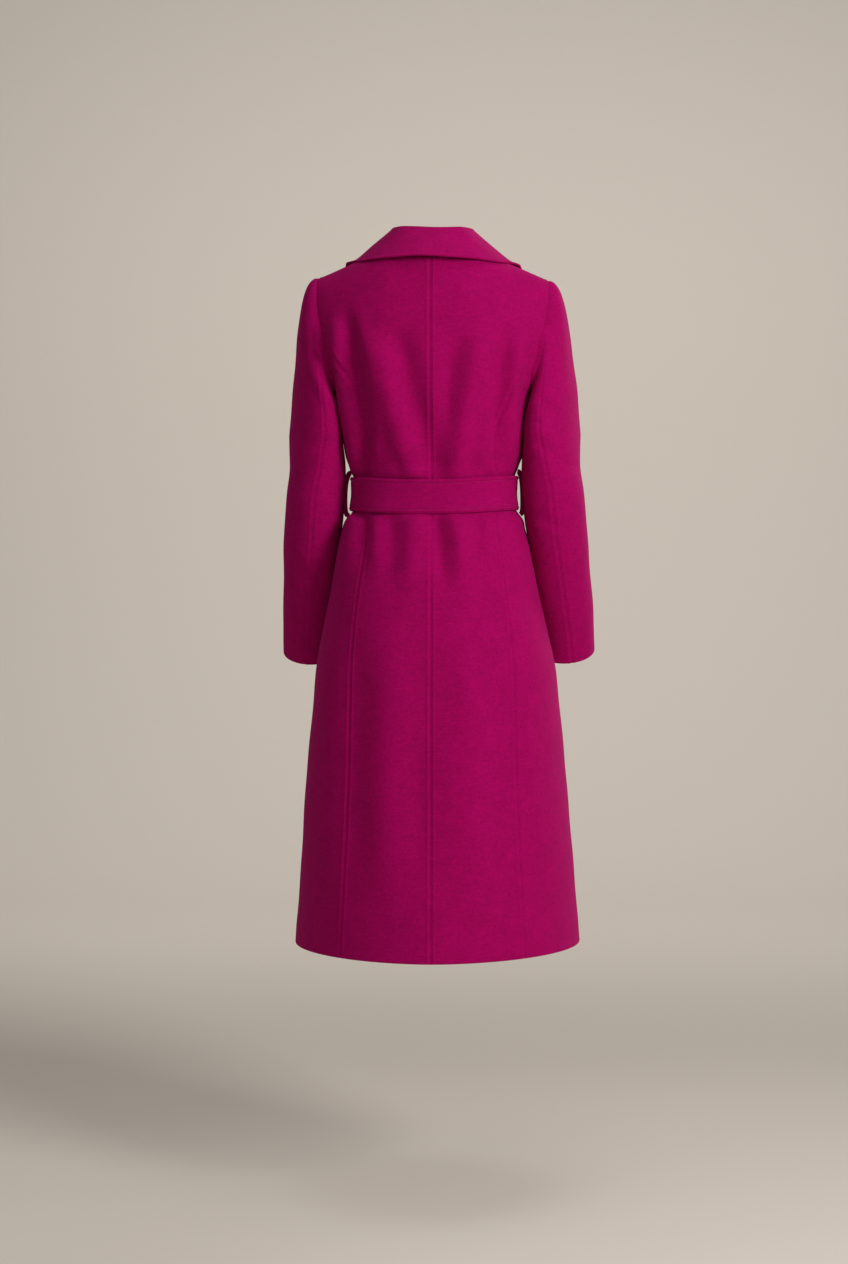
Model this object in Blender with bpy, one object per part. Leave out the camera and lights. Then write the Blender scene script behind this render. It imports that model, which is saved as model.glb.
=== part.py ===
"""A wool wrap coat with the hollow shape it keeps when worn: princess-seamed back, wrapped
fronts, two-piece sleeves, shawl collar and tied self belt. Metres, +Z up, the front faces
-Y and the wearer's left is +X. The origin is the middle of the neck, level with the inner
ends of the shoulder seams."""

import math

import bmesh
import bpy
import numpy as np

# Cloth
WALL = 0.003            # wool coating with its turned seams
COLLAR_WALL = 0.003     # two layers pressed together
BELT_WALL = 0.0045      # folded and topstitched
SEAM_GAP = 0.0003
REST_GAP = 0.0016       # air under the turned collar

# Heights
BUST_Z = -0.300         # below this the rows are level
BELT_TOP_Z, BELT_BOTTOM_Z = -0.3675, -0.4220
BELT_DIP = 0.0075       # the belt lies this much lower at the middle of the back
BREAK_Z = -0.345        # where the lapels start to turn

# The body in level sections: half width at the side seam, depth behind and in front
BODY = (
    # z, half_width, back_depth, front_depth, power of the section's oval
    (-1.120, 0.2307, 0.224, 0.216, 1.84),
    (-1.053, 0.2248, 0.215, 0.208, 1.87),
    (-0.956, 0.2180, 0.202, 0.197, 1.92),
    (-0.826, 0.2086, 0.185, 0.183, 1.99),
    (-0.729, 0.1990, 0.172, 0.171, 2.04),
    (-0.656, 0.1910, 0.160, 0.161, 2.09),
    (-0.607, 0.1828, 0.150, 0.153, 2.12),
    (-0.559, 0.1735, 0.141, 0.145, 2.15),
    (-0.518, 0.1660, 0.131, 0.136, 2.19),
    (-0.470, 0.1558, 0.119, 0.125, 2.22),
    (-0.445, 0.1485, 0.112, 0.118, 2.24),
    (-0.424, 0.1335, 0.106, 0.112, 2.28),
    (-0.395, 0.1285, 0.101, 0.107, 2.30),
    (-0.363, 0.1305, 0.103, 0.109, 2.30),
    (-0.335, 0.1418, 0.110, 0.116, 2.30),
    (-0.300, 0.1470, 0.115, 0.122, 2.30),
    (-0.270, 0.1512, 0.118, 0.126, 2.30),
    (-0.235, 0.1590, 0.120, 0.127, 2.30),
    (-0.229, 0.1625, 0.120, 0.127, 2.30),
    (-0.208, 0.1700, 0.121, 0.126, 2.30),
    (-0.190, 0.1760, 0.121, 0.125, 2.30),
    (-0.168, 0.1830, 0.121, 0.124, 2.30),
    (-0.147, 0.1890, 0.121, 0.122, 2.30),
    (-0.123, 0.1935, 0.121, 0.119, 2.30),
    (-0.100, 0.1960, 0.120, 0.116, 2.30),
    (-0.057, 0.1985, 0.119, 0.110, 2.30),
    (0.000, 0.1990, 0.118, 0.104, 2.30),
)
BACK_TOP_POWER = 2.5    # how squarely the back rolls over to the shoulder seam
FRONT_TOP_POWER = 2.4

# Neckline and shoulder
NECK_X, NAPE_Y, NAPE_Z = 0.070, 0.060, -0.005
TIP_X, TIP_Y, TIP_Z = 0.1865, -0.005, -0.050

ARMHOLE = (
    # z, back_x, front_x
    (-0.2350, 0.1590, 0.1590),
    (-0.2335, 0.1583, 0.1577),
    (-0.2290, 0.1577, 0.1562),
    (-0.2210, 0.1572, 0.1550),
    (-0.2080, 0.1575, 0.1545),
    (-0.1900, 0.1605, 0.1550),
    (-0.1680, 0.1655, 0.1575),
    (-0.1470, 0.1705, 0.1615),
    (-0.1230, 0.1775, 0.1670),
    (-0.1000, 0.1820, 0.1725),
    (-0.0760, 0.1845, 0.1785),
    (-0.0600, 0.1860, 0.1835),
    (-0.0500, 0.1865, 0.1865),
)
PRINCESS = (
    # z, x on the back
    (-1.120, 0.144),
    (-1.000, 0.139),
    (-0.900, 0.135),
    (-0.820, 0.132),
    (-0.700, 0.130),
    (-0.650, 0.128),
    (-0.600, 0.124),
    (-0.567, 0.120),
    (-0.510, 0.113),
    (-0.470, 0.108),
    (-0.425, 0.102),
    (-0.398, 0.099),
    (-0.330, 0.101),
    (-0.285, 0.109),
    (-0.256, 0.118),
    (-0.225, 0.127),
    (-0.188, 0.145),
    (-0.152, 0.163),
    (-0.120, 0.178),
)
PRINCESS_TIP = 0.0016   # width of the side panel where it runs out at the armhole

LAP = 0.085             # each front crosses the middle by this much
FRONT_EDGE = (
    # z, x of the front's inner edge, its own side positive
    (-1.120, -0.090),
    (-0.700, -0.087),
    (-0.345, -0.085),
    (-0.320, -0.069),
    (-0.300, -0.056),
    (-0.250, -0.026),
    (-0.200, 0.002),
    (-0.150, 0.028),
    (-0.100, 0.0485),
    (-0.050, 0.0620),
    (-0.020, 0.0675),
    (0.000, 0.0700),
)
LAP_LIFT = (
    # z, how far the right front stands off to clear what it laps over
    (-1.120, 0.0045),
    (-0.400, 0.0045),
    (-0.375, 0.0050),
    (-0.352, 0.0108),
    (-0.180, 0.0108),
    (-0.140, 0.0060),
    (-0.100, 0.0008),
    (-0.080, 0.0000),
    (0.000, 0.0000),
)
LAP_START, LAP_FULL = 1.25, 0.72    # section angles between which it lifts

# Rows of the panels above BUST_Z: their height at the armhole, at the centre back and at
# the front's inner edge. The rows below are level.
LOW_ROWS = (-1.120, -1.050, -0.970, -0.890, -0.810, -0.740, -0.675, -0.615, -0.560,
            -0.510, -0.470, -0.445, -0.424, -0.396, -0.368, -0.345, -0.322)
HIGH_ROWS = (
    # side_z, back_z, front_z
    (-0.3000, -0.300, -0.300),
    (-0.2680, -0.268, -0.272),
    (-0.2350, -0.236, -0.245),
    (-0.2335, -0.215, -0.222),
    (-0.2290, -0.195, -0.200),
    (-0.2210, -0.176, -0.178),
    (-0.2080, -0.157, -0.156),
    (-0.1900, -0.138, -0.134),
    (-0.1680, -0.120, -0.113),
    (-0.1470, -0.102, -0.092),
    (-0.1275, -0.084, -0.075),
    (-0.1245, -0.068, -0.061),
    (-0.1040, -0.052, -0.048),
    (-0.0850, -0.038, -0.034),
    (-0.0680, -0.025, -0.020),
    (-0.0565, -0.014, -0.009),
    (-0.0500, -0.005, 0.000),
)
TOP = len(HIGH_ROWS) - 1
UNDERARM_ROW, PRINCESS_ROW = 2, 10
BACK_COLUMNS, NECK_COLUMN, SIDE_COLUMNS, FRONT_COLUMNS = 10, 4, 5, 14

# Sleeve: level rings from the bust line down, tipped forward as the arm hangs
ARM = (
    # z, centre_x, centre_y, half_width, half_depth, tip_degrees, twist_degrees, and how far
    # its back leans in to the body for each metre
    (-0.300, 0.1910, 0.002, 0.0405, 0.0660, 0, 0, 0.27),
    (-0.345, 0.1895, -0.001, 0.0452, 0.0610, 2, 0, 0.15),
    (-0.390, 0.1935, -0.007, 0.0463, 0.0570, 6, -2, 0.05),
    (-0.430, 0.1975, -0.017, 0.0466, 0.0540, 10, -4, 0.00),
    (-0.470, 0.2018, -0.031, 0.0458, 0.0520, 14, -6, 0.00),
    (-0.510, 0.2055, -0.048, 0.0450, 0.0500, 18, -8, 0.00),
    (-0.555, 0.2090, -0.071, 0.0450, 0.0488, 21, -10, 0.00),
    (-0.605, 0.2122, -0.098, 0.0456, 0.0478, 23, -12, 0.00),
    (-0.654, 0.2135, -0.125, 0.0462, 0.0474, 24, -14, 0.00),
)
CAP_STEPS = (0.07, 0.16, 0.27, 0.40, 0.54, 0.68, 0.84)
CAP_OUT = {"top": (0.0365, 0.0008), "side": (0.0200, -0.0060), "under": (0.0100, 0.0020)}
CAP_RISE = {"top": 0.130, "side": 0.075, "under": 0.030}
BACK_SEAM_ROW, FRONT_SEAM_ROW = 9, 6

# Collar, from the middle of the back round to the end of the lapel
STAND_BACK, STAND_LEAN, ROLL_BACK = 0.0310, 0.30, 0.0034
COLLAR_BACK_EDGE = (
    # x, y, z of its outer edge for each column of the neckline
    (0.0000, 0.1060, -0.0245),
    (0.0352, 0.1035, -0.0248),
    (0.0710, 0.0890, -0.0259),
    (0.1050, 0.0560, -0.0273),
    (0.1365, 0.0040, -0.0286),
)
COLLAR_FRONT = (
    # z of the front's edge, stand height, fall edge x, y, z where it is over the shoulder
    (0.000, 0.0320, 0.1365, 0.0040, -0.0286),
    (-0.009, 0.0330, 0.1418, -0.0140, -0.0350),
    (-0.020, 0.0330, 0.1456, -0.0320, -0.0450),
    (-0.034, 0.0310, 0.1485, -0.0480, -0.0588),
    (-0.048, 0.0270, 0.1505, -0.0610, -0.0750),
    (-0.061, 0.0215, 0.1490, -0.0720, -0.0910),
    (-0.075, 0.0150, 0.1460, -0.0810, -0.1080),
    (-0.092, 0.0080, 0.1400, -0.0890, -0.1270),
    (-0.113, 0.0035, 0.1290, -0.0960, -0.1510),
)
LAPEL_WIDTH = (
    # z of the front's edge, width of the lapel square to its roll
    (-0.345, 0.0050),
    (-0.322, 0.0330),
    (-0.300, 0.0520),
    (-0.250, 0.0750),
    (-0.200, 0.0860),
    (-0.150, 0.0900),
    (-0.100, 0.0920),
)
LAPEL_SLOPE = -0.48     # drop of that line for each unit across

# Stance: the left shoulder is held a little higher than the right one
SHOULDER_TILT, TILT_FROM, TILT_TO = 0.024, -0.300, -0.060

# Belt
BELT_GAP = 0.0014
BRIDGE_END = 0.125      # the belt comes back to the left front here
KNOT_WIDTH, KNOT_HEIGHT, KNOT_DEPTH, KNOT_EDGE = 0.078, 0.060, 0.027, 0.004
KNOT_WRAP, KNOT_SLANT = 0.42, 0.16   # the turn that goes over the knot, half width and slant
ENDS = (
    # name, length, x at the knot, x at the foot
    ("belt_end_left", 0.46, 0.018, 0.052),
    ("belt_end_right", 0.42, -0.018, -0.047),
)
END_STANDOFF, END_NECK = 0.003, 0.030
LOOP_WIDTH, LOOP_WALL = 0.009, 0.0032
LOOP_FOOT_X = 0.1305
LOOP_PATH = (
    # how far out from LOOP_FOOT_X, z
    (0.0034, -0.3602),
    (0.0062, -0.3610),
    (0.0084, -0.3645),
    (0.0110, -0.3725),
    (0.0127, -0.3830),
    (0.0136, -0.3940),
    (0.0139, -0.4050),
    (0.0138, -0.4130),
    (0.0132, -0.4210),
    (0.0112, -0.4272),
    (0.0080, -0.4294),
)
LOOP_SLACK = {"left": 1.0, "right": 0.80}

COLOURS = {
    "melton": (0.36, 0.002, 0.075),
    "undercollar": (0.33, 0.002, 0.070),
    "belt": (0.35, 0.002, 0.075),
}


def lookup(table, key):
    """The other columns of a table at a key between its rows, on a smooth line."""
    rows = np.asarray(table, float)
    if rows[0, 0] > rows[-1, 0]:
        rows = rows[::-1]
    keys = rows[:, 0]
    i = int(np.clip(np.searchsorted(keys, key) - 1, 0, len(keys) - 2))
    steps = np.diff(rows, axis=0)
    rises = steps / steps[:, :1]

    def slope(j):
        if j in (0, len(keys) - 1):
            return rises[min(j, len(rises) - 1)]
        before, after = rises[j - 1], rises[j]
        together = before * after > 0
        total = np.where(together, before + after, 1)
        return np.where(together, 2 * before * after / total, 0)

    span = keys[i + 1] - keys[i]
    u = min(max((key - keys[i]) / span, 0.0), 1.0)
    value = ((1 + 2 * u) * (1 - u) ** 2 * rows[i] + u * u * (3 - 2 * u) * rows[i + 1]
             + span * u * (1 - u) * ((1 - u) * slope(i) - u * slope(i + 1)))
    return value[1:]


def ease(u):
    u = min(max(u, 0.0), 1.0)
    return u * u * (3 - 2 * u)


def unit(v):
    return v / np.maximum(np.linalg.norm(v, axis=-1, keepdims=True), 1e-12)


def half_width(z):
    return lookup(BODY, z)[0]


def section_angle(x, z):
    width, _, _, power = lookup(BODY, z)
    return math.copysign(math.asin(min(abs(x) / width, 1.0) ** (power / 2)), x)


def section_x(angle, z):
    width, _, _, power = lookup(BODY, z)
    return math.copysign(abs(math.sin(angle)) ** (2 / power), angle) * width


def top_edge(x, front):
    """(y, z) of the neckline and the shoulder seam."""
    x = abs(x)
    if x >= NECK_X:
        along = (x - NECK_X) / (TIP_X - NECK_X)
        return TIP_Y * along, TIP_Z * along
    if front:
        return 0.0, 0.0
    across = x / NECK_X
    return NAPE_Y * (1 - across ** 2.2) ** (1 / 2.2), NAPE_Z * (1 - across ** 2)


def body_point(x, z, front):
    """The outside of the cloth at a place in the front view."""
    width, back, fore, oval = lookup(BODY, z)
    depth = (fore if front else back) * (1 - min(abs(x) / width, 1) ** oval) ** (1 / oval)
    if z > BUST_Z:
        top_y, top_z = top_edge(x, front)
        power = FRONT_TOP_POWER if front else BACK_TOP_POWER
        rise = min(max((z - BUST_Z) / (top_z - BUST_Z), 0), 1)
        if front:
            top_y = -top_y
        depth = top_y + (depth - top_y) * (1 - rise ** power) ** (1 / power)
    return np.array([x, -depth if front else depth, z])


def row_at(number):
    """Heights of a row at the side, the centre back and the front edge, and how far it
    has taken up the shape of the top edge. Rows below the bust line count down from 0."""
    low = len(LOW_ROWS)
    rows = [(k - low, z, z, z) for k, z in enumerate(LOW_ROWS)]
    rows += [(k, *row) for k, row in enumerate(HIGH_ROWS)]
    side_z, back_z, front_z = lookup(rows, number)
    return side_z, back_z, front_z, (max(number, 0) / TOP) ** 3


def side_x(z, front):
    if z <= HIGH_ROWS[UNDERARM_ROW][0]:
        return half_width(z)
    return lookup(ARMHOLE, z)[1 if front else 0]


def place(number, t, front):
    """(x, z) on a row, t going from the centre back or the front edge to the side."""
    side_z, back_z, front_z, rounding = row_at(number)
    near_z = front_z if front else back_z
    near_x = lookup(FRONT_EDGE, near_z)[0] if front else 0.0
    far_x = side_x(side_z, front)
    z = near_z + (side_z - near_z) * t
    near, far = section_angle(near_x, near_z), section_angle(far_x, side_z)
    x = section_x(near + (far - near) * t, z)
    if front:
        top_x, top_z = NECK_X + (TIP_X - NECK_X) * t, TIP_Z * t
    else:
        neck_t = NECK_COLUMN / BACK_COLUMNS
        top_x = (NECK_X * t / neck_t if t < neck_t
                 else NECK_X + (TIP_X - NECK_X) * (t - neck_t) / (1 - neck_t))
        top_z = top_edge(top_x, False)[1]
        z += rounding * (top_z - (NAPE_Z + (TIP_Z - NAPE_Z) * t))
    if number >= TOP:
        return top_x, top_z
    return x + rounding * (top_x - x), z


def on_body(number, t, front):
    x, z = place(number, t, front)
    point = body_point(x, z, front)
    if number >= TOP:
        point[1] = top_edge(x, front)[0]
    elif t == 1 and number <= UNDERARM_ROW:
        point[1] = 0.0
    return point


def princess_t(number):
    """How far along a back row the princess seam lies."""
    if number > PRINCESS_ROW:
        return 1.0
    low, high = 0.0, 1.0
    for _ in range(30):
        middle = (low + high) / 2
        x, z = place(number, middle, False)
        if x < lookup(PRINCESS, z)[0]:
            low = middle
        else:
            high = middle
    tip = PRINCESS_TIP / np.linalg.norm(on_body(number, 1, False) - on_body(number, 0.95, False))
    return min(low, 1 - 0.05 * tip)


def facing(points, outward):
    """Unit normals of a grid of points, turned to face the way outward does."""
    down, across = np.gradient(points, axis=0), np.gradient(points, axis=1)
    normals = unit(np.cross(down, across))
    return normals if (normals * outward).sum() > 0 else -normals


def torso(front, rows, columns_of, lifted=False):
    """(points, normals) of a half of the body, its columns placed by columns_of(row)."""
    points = np.array([[on_body(n, t, front) for t in columns_of(n)] for n in rows])
    outward = np.array([0, -1.0 if front else 1.0, 0]) + points * (1, 0, 0)
    normals = facing(points, outward)
    crest = unit(np.array([-TIP_Z, 0, TIP_X - NECK_X]))
    for i, n in enumerate(rows):
        if n <= UNDERARM_ROW:
            normals[i, -1] = unit(normals[i, -1] * (1, 0, 1) + np.array([1e-6, 0, 0]))
        if not front:
            normals[i, 0] = unit(normals[i, 0] * (0, 1, 1))
        if n >= TOP:
            for j in range(len(points[i])):
                if points[i, j, 0] > NECK_X - 1e-9:
                    normals[i, j] = crest
    if lifted:
        lift = np.array([[lap_lift(p) for p in row] for row in points])
        points = points + lift[..., None] * normals
    return points, normals


def lap_lift(point):
    """How far the right front stands off the body here, its own side positive."""
    angle = section_angle(point[0], point[2])
    return lookup(LAP_LIFT, point[2])[0] * ease((LAP_START - angle) / (LAP_START - LAP_FULL))


def trimmed(points, columns=(True, True), rows=(False, False)):
    """The grid drawn in at its edges by half a seam's gap."""
    out = points.copy()
    for at, beside, wanted in ((0, 1, columns[0]), (-1, -2, columns[1])):
        if wanted:
            out[:, at] += unit(points[:, beside] - points[:, at]) * SEAM_GAP / 2
    inner = out.copy()
    for at, beside, wanted in ((0, 1, rows[0]), (-1, -2, rows[1])):
        if wanted:
            out[at] += unit(inner[beside] - inner[at]) * SEAM_GAP / 2
    return out


def material(name):
    made = bpy.data.materials.get(name)
    if made is None:
        made = bpy.data.materials.new(name)
        made.use_nodes = True
        shader = made.node_tree.nodes["Principled BSDF"]
        shader.inputs["Base Color"].default_value = (*COLOURS[name], 1)
        shader.inputs["Roughness"].default_value = 0.9
        shader.inputs["Metallic"].default_value = 0.0
    return made


def tilted(points):
    """The points raised towards the higher shoulder."""
    rise = np.clip((points[..., 2] - TILT_FROM) / (TILT_TO - TILT_FROM), 0, 1)
    lift = SHOULDER_TILT * points[..., 0] * rise * rise * (3 - 2 * rise)
    return points + lift[..., None] * np.array([0, 0, 1.0])


def solid(name, outer, inner, slot, ring=False, mirror=False):
    """A closed wall between two grids of points. A ring is closed across its columns."""
    outer, inner = (np.array(g, float) for g in (outer, inner))
    if mirror:
        outer, inner = outer * (-1, 1, 1), inner * (-1, 1, 1)
    outer, inner = tilted(outer), tilted(inner)
    rows, columns = outer.shape[:2]
    mesh = bmesh.new()
    skins = [[[mesh.verts.new(p) for p in row] for row in grid] for grid in (outer, inner)]
    last = columns if ring else columns - 1
    for skin in skins:
        for i in range(rows - 1):
            for j in range(last):
                a, b = skin[i][j], skin[i][(j + 1) % columns]
                c, d = skin[i + 1][(j + 1) % columns], skin[i + 1][j]
                mesh.faces.new((a, b, c))
                mesh.faces.new((a, c, d))
    out, back = skins
    for i in (0, rows - 1):
        for j in range(last):
            k = (j + 1) % columns
            mesh.faces.new((out[i][j], out[i][k], back[i][k], back[i][j]))
    if not ring:
        for j in (0, columns - 1):
            for i in range(rows - 1):
                mesh.faces.new((out[i][j], out[i + 1][j], back[i + 1][j], back[i][j]))
    bmesh.ops.recalc_face_normals(mesh, faces=mesh.faces)
    if mesh.calc_volume(signed=True) < 0:
        bmesh.ops.reverse_faces(mesh, faces=mesh.faces)
    data = bpy.data.meshes.new(name)
    mesh.to_mesh(data)
    mesh.free()
    for polygon in data.polygons:
        polygon.use_smooth = True
    data.materials.append(material(slot))
    made = bpy.data.objects.new(name, data)
    bpy.context.scene.collection.objects.link(made)
    return made


def spread(start, end, count):
    return [start + (end - start) * k / count for k in range(count + 1)]


ALL_ROWS = list(range(-len(LOW_ROWS), TOP + 1))


def back_columns(number):
    seam = princess_t(number)
    return spread(0, seam, BACK_COLUMNS) + spread(seam, 1, SIDE_COLUMNS)[1:]


def back_panels():
    """Both halves of the back; gives the centre panel's points and normals."""
    rows = [n for n in ALL_ROWS if n <= PRINCESS_ROW]
    points, normals = torso(False, rows, back_columns)
    high_points, high_normals = torso(False, [n for n in ALL_ROWS if n >= PRINCESS_ROW],
                                      lambda n: spread(0, princess_t(n), BACK_COLUMNS))
    seam = BACK_COLUMNS
    centre = np.concatenate([points[:, :seam + 1], high_points[1:]])
    centre_normals = np.concatenate([normals[:, :seam + 1], high_normals[1:]])
    for sign, name in ((False, "left"), (True, "right")):
        for part, grid, direction, rows_cut in (
                ("back_centre_", centre, centre_normals, (False, True)),
                ("back_side_", points[:, seam:], normals[:, seam:], (False, False))):
            outer = trimmed(grid, rows=rows_cut)
            inner = trimmed(grid - WALL * direction, rows=rows_cut)
            solid(part + name, outer, inner, "melton", mirror=sign)
    return centre, centre_normals


def front_panels():
    grids = {}
    for name, lifted in (("left", False), ("right", True)):
        points, normals = torso(True, ALL_ROWS, lambda n: spread(0, 1, FRONT_COLUMNS), lifted)
        grids[name] = points, normals
        outer = trimmed(points, columns=(False, True), rows=(False, True))
        inner = trimmed(points - WALL * normals, columns=(False, True), rows=(False, True))
        solid("front_" + name, outer, inner, "melton", mirror=lifted)
    return grids


def armhole():
    """The ring of points a sleeve is set into, from the shoulder's tip down the back and
    up the front, with the way each leads out of the body and its angle round the arm."""
    rows = list(range(TOP, UNDERARM_ROW - 1, -1))
    ring = [(n, False) for n in rows] + [(n, True) for n in rows[-2:0:-1]]
    points = np.array([on_body(n, 1, front) for n, front in ring])
    inside = np.array([on_body(n, 0.97, front) for n, front in ring])
    out = unit(points - inside)
    out[rows.index(UNDERARM_ROW)] = (0, 0, 1)
    out[0] = unit(np.array([TIP_X - NECK_X, TIP_Y, TIP_Z]))
    steps = np.linalg.norm(np.roll(points, -1, axis=0) - points, axis=1)
    half = len(rows) - 1
    back = np.cumsum(steps[:half]) / steps[:half].sum() * math.pi
    fore = math.pi + np.cumsum(steps[half:]) / steps[half:].sum() * math.pi
    angles = np.concatenate([[0], back, fore[:-1]])
    return points, out, angles


def arm_ring(z, angles):
    x, y, width, depth, tip, twist, lean = lookup(ARM, z)
    turned = angles + math.radians(twist)
    along = depth * np.sin(turned)
    across = width * np.cos(turned) - lean * along
    tip = math.radians(tip)
    return np.stack([x + across, y + along * math.cos(tip), z - along * math.sin(tip)], axis=1)


def sleeve_grid(cap_steps, arm_levels):
    """(points, normals) of a whole sleeve, one row for each ring from the armhole down."""
    holes, out, angles = armhole()
    start = holes + SEAM_GAP * out
    end = arm_ring(BUST_Z, angles)
    top = np.maximum(np.cos(angles), 0)[:, None] ** 2
    under = np.maximum(-np.cos(angles), 0)[:, None] ** 2
    side = np.sin(angles)[:, None] ** 2

    def mix(values):
        return top * values[0] + side * values[1] + under * values[2]

    leave = mix([np.array([x, 0, z]) for x, z in (CAP_OUT[k] for k in ("top", "side", "under"))])
    arrive = mix([np.array([-0.010, 0, CAP_RISE["top"]]), np.array([0, 0, CAP_RISE["side"]]),
                  np.array([0, 0, CAP_RISE["under"]])])
    rings = []
    for u in (0, *cap_steps, 1):
        rings.append((1 - u) ** 3 * start + 3 * (1 - u) ** 2 * u * (start + leave)
                     + 3 * (1 - u) * u * u * (end + arrive) + u ** 3 * end)
    rings += [arm_ring(z, angles) for z in arm_levels]
    points = np.array(rings)
    wrapped = np.concatenate([points[:, -1:], points, points[:, :1]], axis=1)
    normals = facing(wrapped, wrapped - wrapped.mean(axis=1, keepdims=True))[:, 1:-1]
    into = (normals[0] * out).sum(axis=1, keepdims=True)
    normals[0] = unit(normals[0] - np.maximum(into, 0) * out)
    return points, normals


def sleeves():
    points, normals = sleeve_grid(CAP_STEPS, [row[0] for row in ARM[1:]])
    count = points.shape[1]
    back = TOP - BACK_SEAM_ROW
    fore = TOP - UNDERARM_ROW + FRONT_SEAM_ROW - UNDERARM_ROW
    top = [j % count for j in range(fore, count + back + 1)]
    under = list(range(back, fore + 1))
    for part, columns in (("top_sleeve_", top), ("under_sleeve_", under)):
        outer = trimmed(points[:, columns])
        inner = trimmed((points - WALL * normals)[:, columns])
        for side in ("left", "right"):
            solid(part + side, outer, inner, "melton", mirror=side == "right")


def panel_point(x, z, lifted, off=0.0):
    """A place over a front, standing off its cloth."""
    step = 5e-4
    normal = np.cross(body_point(x + step, z, True) - body_point(x - step, z, True),
                      body_point(x, z + step, True) - body_point(x, z - step, True))
    normal = unit(normal if normal[1] < 0 else -normal)
    point = body_point(x, z, True)
    return point + (off + (lap_lift(point) if lifted else 0)) * normal


def stations(front_points, front_normals):
    """For each station of half the collar, from the middle of the back: the point and the
    normal of the edge it is sewn to, the way into that panel, the stand's height, where
    the fall's edge lies over the shoulder, and the height of the front's edge."""
    found = []
    crest = unit(np.array([TIP_X - NECK_X, 0, TIP_Z]))
    for c in range(NECK_COLUMN + 1):
        point, normal = back_centre[-1, c], back_centre_normals[-1, c]
        into = crest if c == NECK_COLUMN else unit(back_centre[-2, c] - point)
        found.append((point, normal, into, STAND_BACK, np.array(COLLAR_BACK_EDGE[c]), 0.0))
    first = len(LOW_ROWS)
    for n in range(TOP - 1, LOW_ROWS.index(BREAK_Z) - first - 1, -1):
        point, normal = front_points[n + first, 0], front_normals[n + first, 0]
        into = unit(front_points[n + first, 1] - point)
        height, *edge = lookup(COLLAR_FRONT, point[2])
        if point[2] < COLLAR_FRONT[-1][0] - 1e-6:
            height, edge = 0.0015, None
        found.append((point, normal, into, height, edge, point[2]))
    return found


def rest_on(points, ground, ground_normals, clear):
    """Points pushed out to stand at least this far off the ground's cloth."""
    out = points.copy()
    for k, p in enumerate(points):
        at = np.argmin(((ground - p) ** 2).sum(axis=1))
        depth = (p - ground[at]) @ ground_normals[at]
        if depth < clear:
            out[k] = p + (clear - depth) * ground_normals[at]
    return out


def collar_half(name, falls=6):
    points, normals = fronts[name]
    lifted = name == "right"
    high = [TOP - 0.25 * k for k in range(40)]
    under = [torso(front, high, lambda n: spread(0, 1, 30), lifted and front)
             for front in (False, True)]
    ground = np.concatenate([p.reshape(-1, 3) for p, _ in under])
    ground_normals = np.concatenate([n.reshape(-1, 3) for _, n in under])
    rest = REST_GAP + COLLAR_WALL / 2
    rest_faceted = rest + 0.0006
    rows = []
    for base, normal, into, height, edge, z in stations(points, normals):
        stand = min(1.0, height / STAND_BACK) if z > COLLAR_FRONT[-1][0] - 1e-6 else 0.0
        radial = unit(base * (1, 1, 0))
        up = unit(stand * (np.array([0, 0, 1.0]) - STAND_LEAN * radial) - (1 - stand) * into)
        across = stand * radial + (1 - stand) * normal
        across = unit(across - (across @ up) * up)
        flat = (WALL / 2 + rest) / 2
        roll = stand * ROLL_BACK + (1 - stand) * flat
        turn = math.sqrt(max(0.0, 1 - (up @ into) ** 2))
        foot = (base - (SEAM_GAP + COLLAR_WALL / 2 * turn) * into
                - ((1 - stand) * WALL / 2 + stand * 0.001) * normal)
        centre = foot + height * up + roll * across
        row = [foot, foot + height / 2 * up]
        row += [centre + roll * (math.sin(a) * up - math.cos(a) * across)
                for a in np.linspace(0, math.pi, 5)]
        last = row[-1]
        steps = np.arange(1, falls + 1) / falls
        if edge is None:
            reach = lookup(LAPEL_WIDTH, z)[0] / math.hypot(1, LAPEL_SLOPE)
            row += [panel_point(base[0] + reach * f, base[2] + reach * LAPEL_SLOPE * f,
                                lifted, rest_faceted) for f in steps]
        else:
            straight = [last + (np.array(edge) - last) * f for f in steps]
            row += list(rest_on(np.array(straight), ground, ground_normals, rest_faceted))
        rows.append(row)
    return np.array(rows)


def collar():
    left = collar_half("left")
    right = collar_half("right") * (-1, 1, 1)
    middle = np.concatenate([right[:0:-1], left])
    normals = facing(middle, np.zeros(3))
    fall = normals[len(middle) // 2, -1]
    normals = normals if fall[1] > 0 else -normals
    half = COLLAR_WALL / 2
    solid("collar", middle + half * normals, middle - half * normals, "undercollar")
    return middle, normals


def belt_lift(x, z, front):
    """How far the belt stands off the body to pass over the lapped fronts."""
    if not front:
        return 0.0
    own = np.array([-x, 0, z])
    if x < LAP + 0.004:
        return lap_lift(own)
    return lookup(LAP_LIFT, z)[0] * ease((BRIDGE_END - x) / (BRIDGE_END - LAP - 0.004))


def belt_point(angle, part, off):
    """A place on the belt: angle from the centre back round by the left, part from its top
    edge to its bottom, off from the inside of the belt."""
    turn = angle % (2 * math.pi)
    front = math.pi / 2 < turn < 3 * math.pi / 2
    x_angle = math.asin(max(-1, min(1, math.sin(turn))))
    guess = (BELT_TOP_Z + BELT_BOTTOM_Z) / 2
    share = abs(section_x(x_angle, guess)) / half_width(guess)
    z = BELT_TOP_Z + (BELT_BOTTOM_Z - BELT_TOP_Z) * part - BELT_DIP * (1 - share ** 2)
    width, back, fore, oval = lookup(BODY, z)
    depth = -fore if front else back
    x = section_x(x_angle, z)
    y = depth * abs(math.cos(turn)) ** (2 / oval)
    normal = unit(np.array([
        math.copysign((abs(x) / width) ** (oval - 1) / width, x),
        math.copysign((abs(y) / abs(depth)) ** (oval - 1) / abs(depth), y), 0]))
    return np.array([x, y, z]) + (BELT_GAP + belt_lift(x, z, front) + off) * normal


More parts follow.
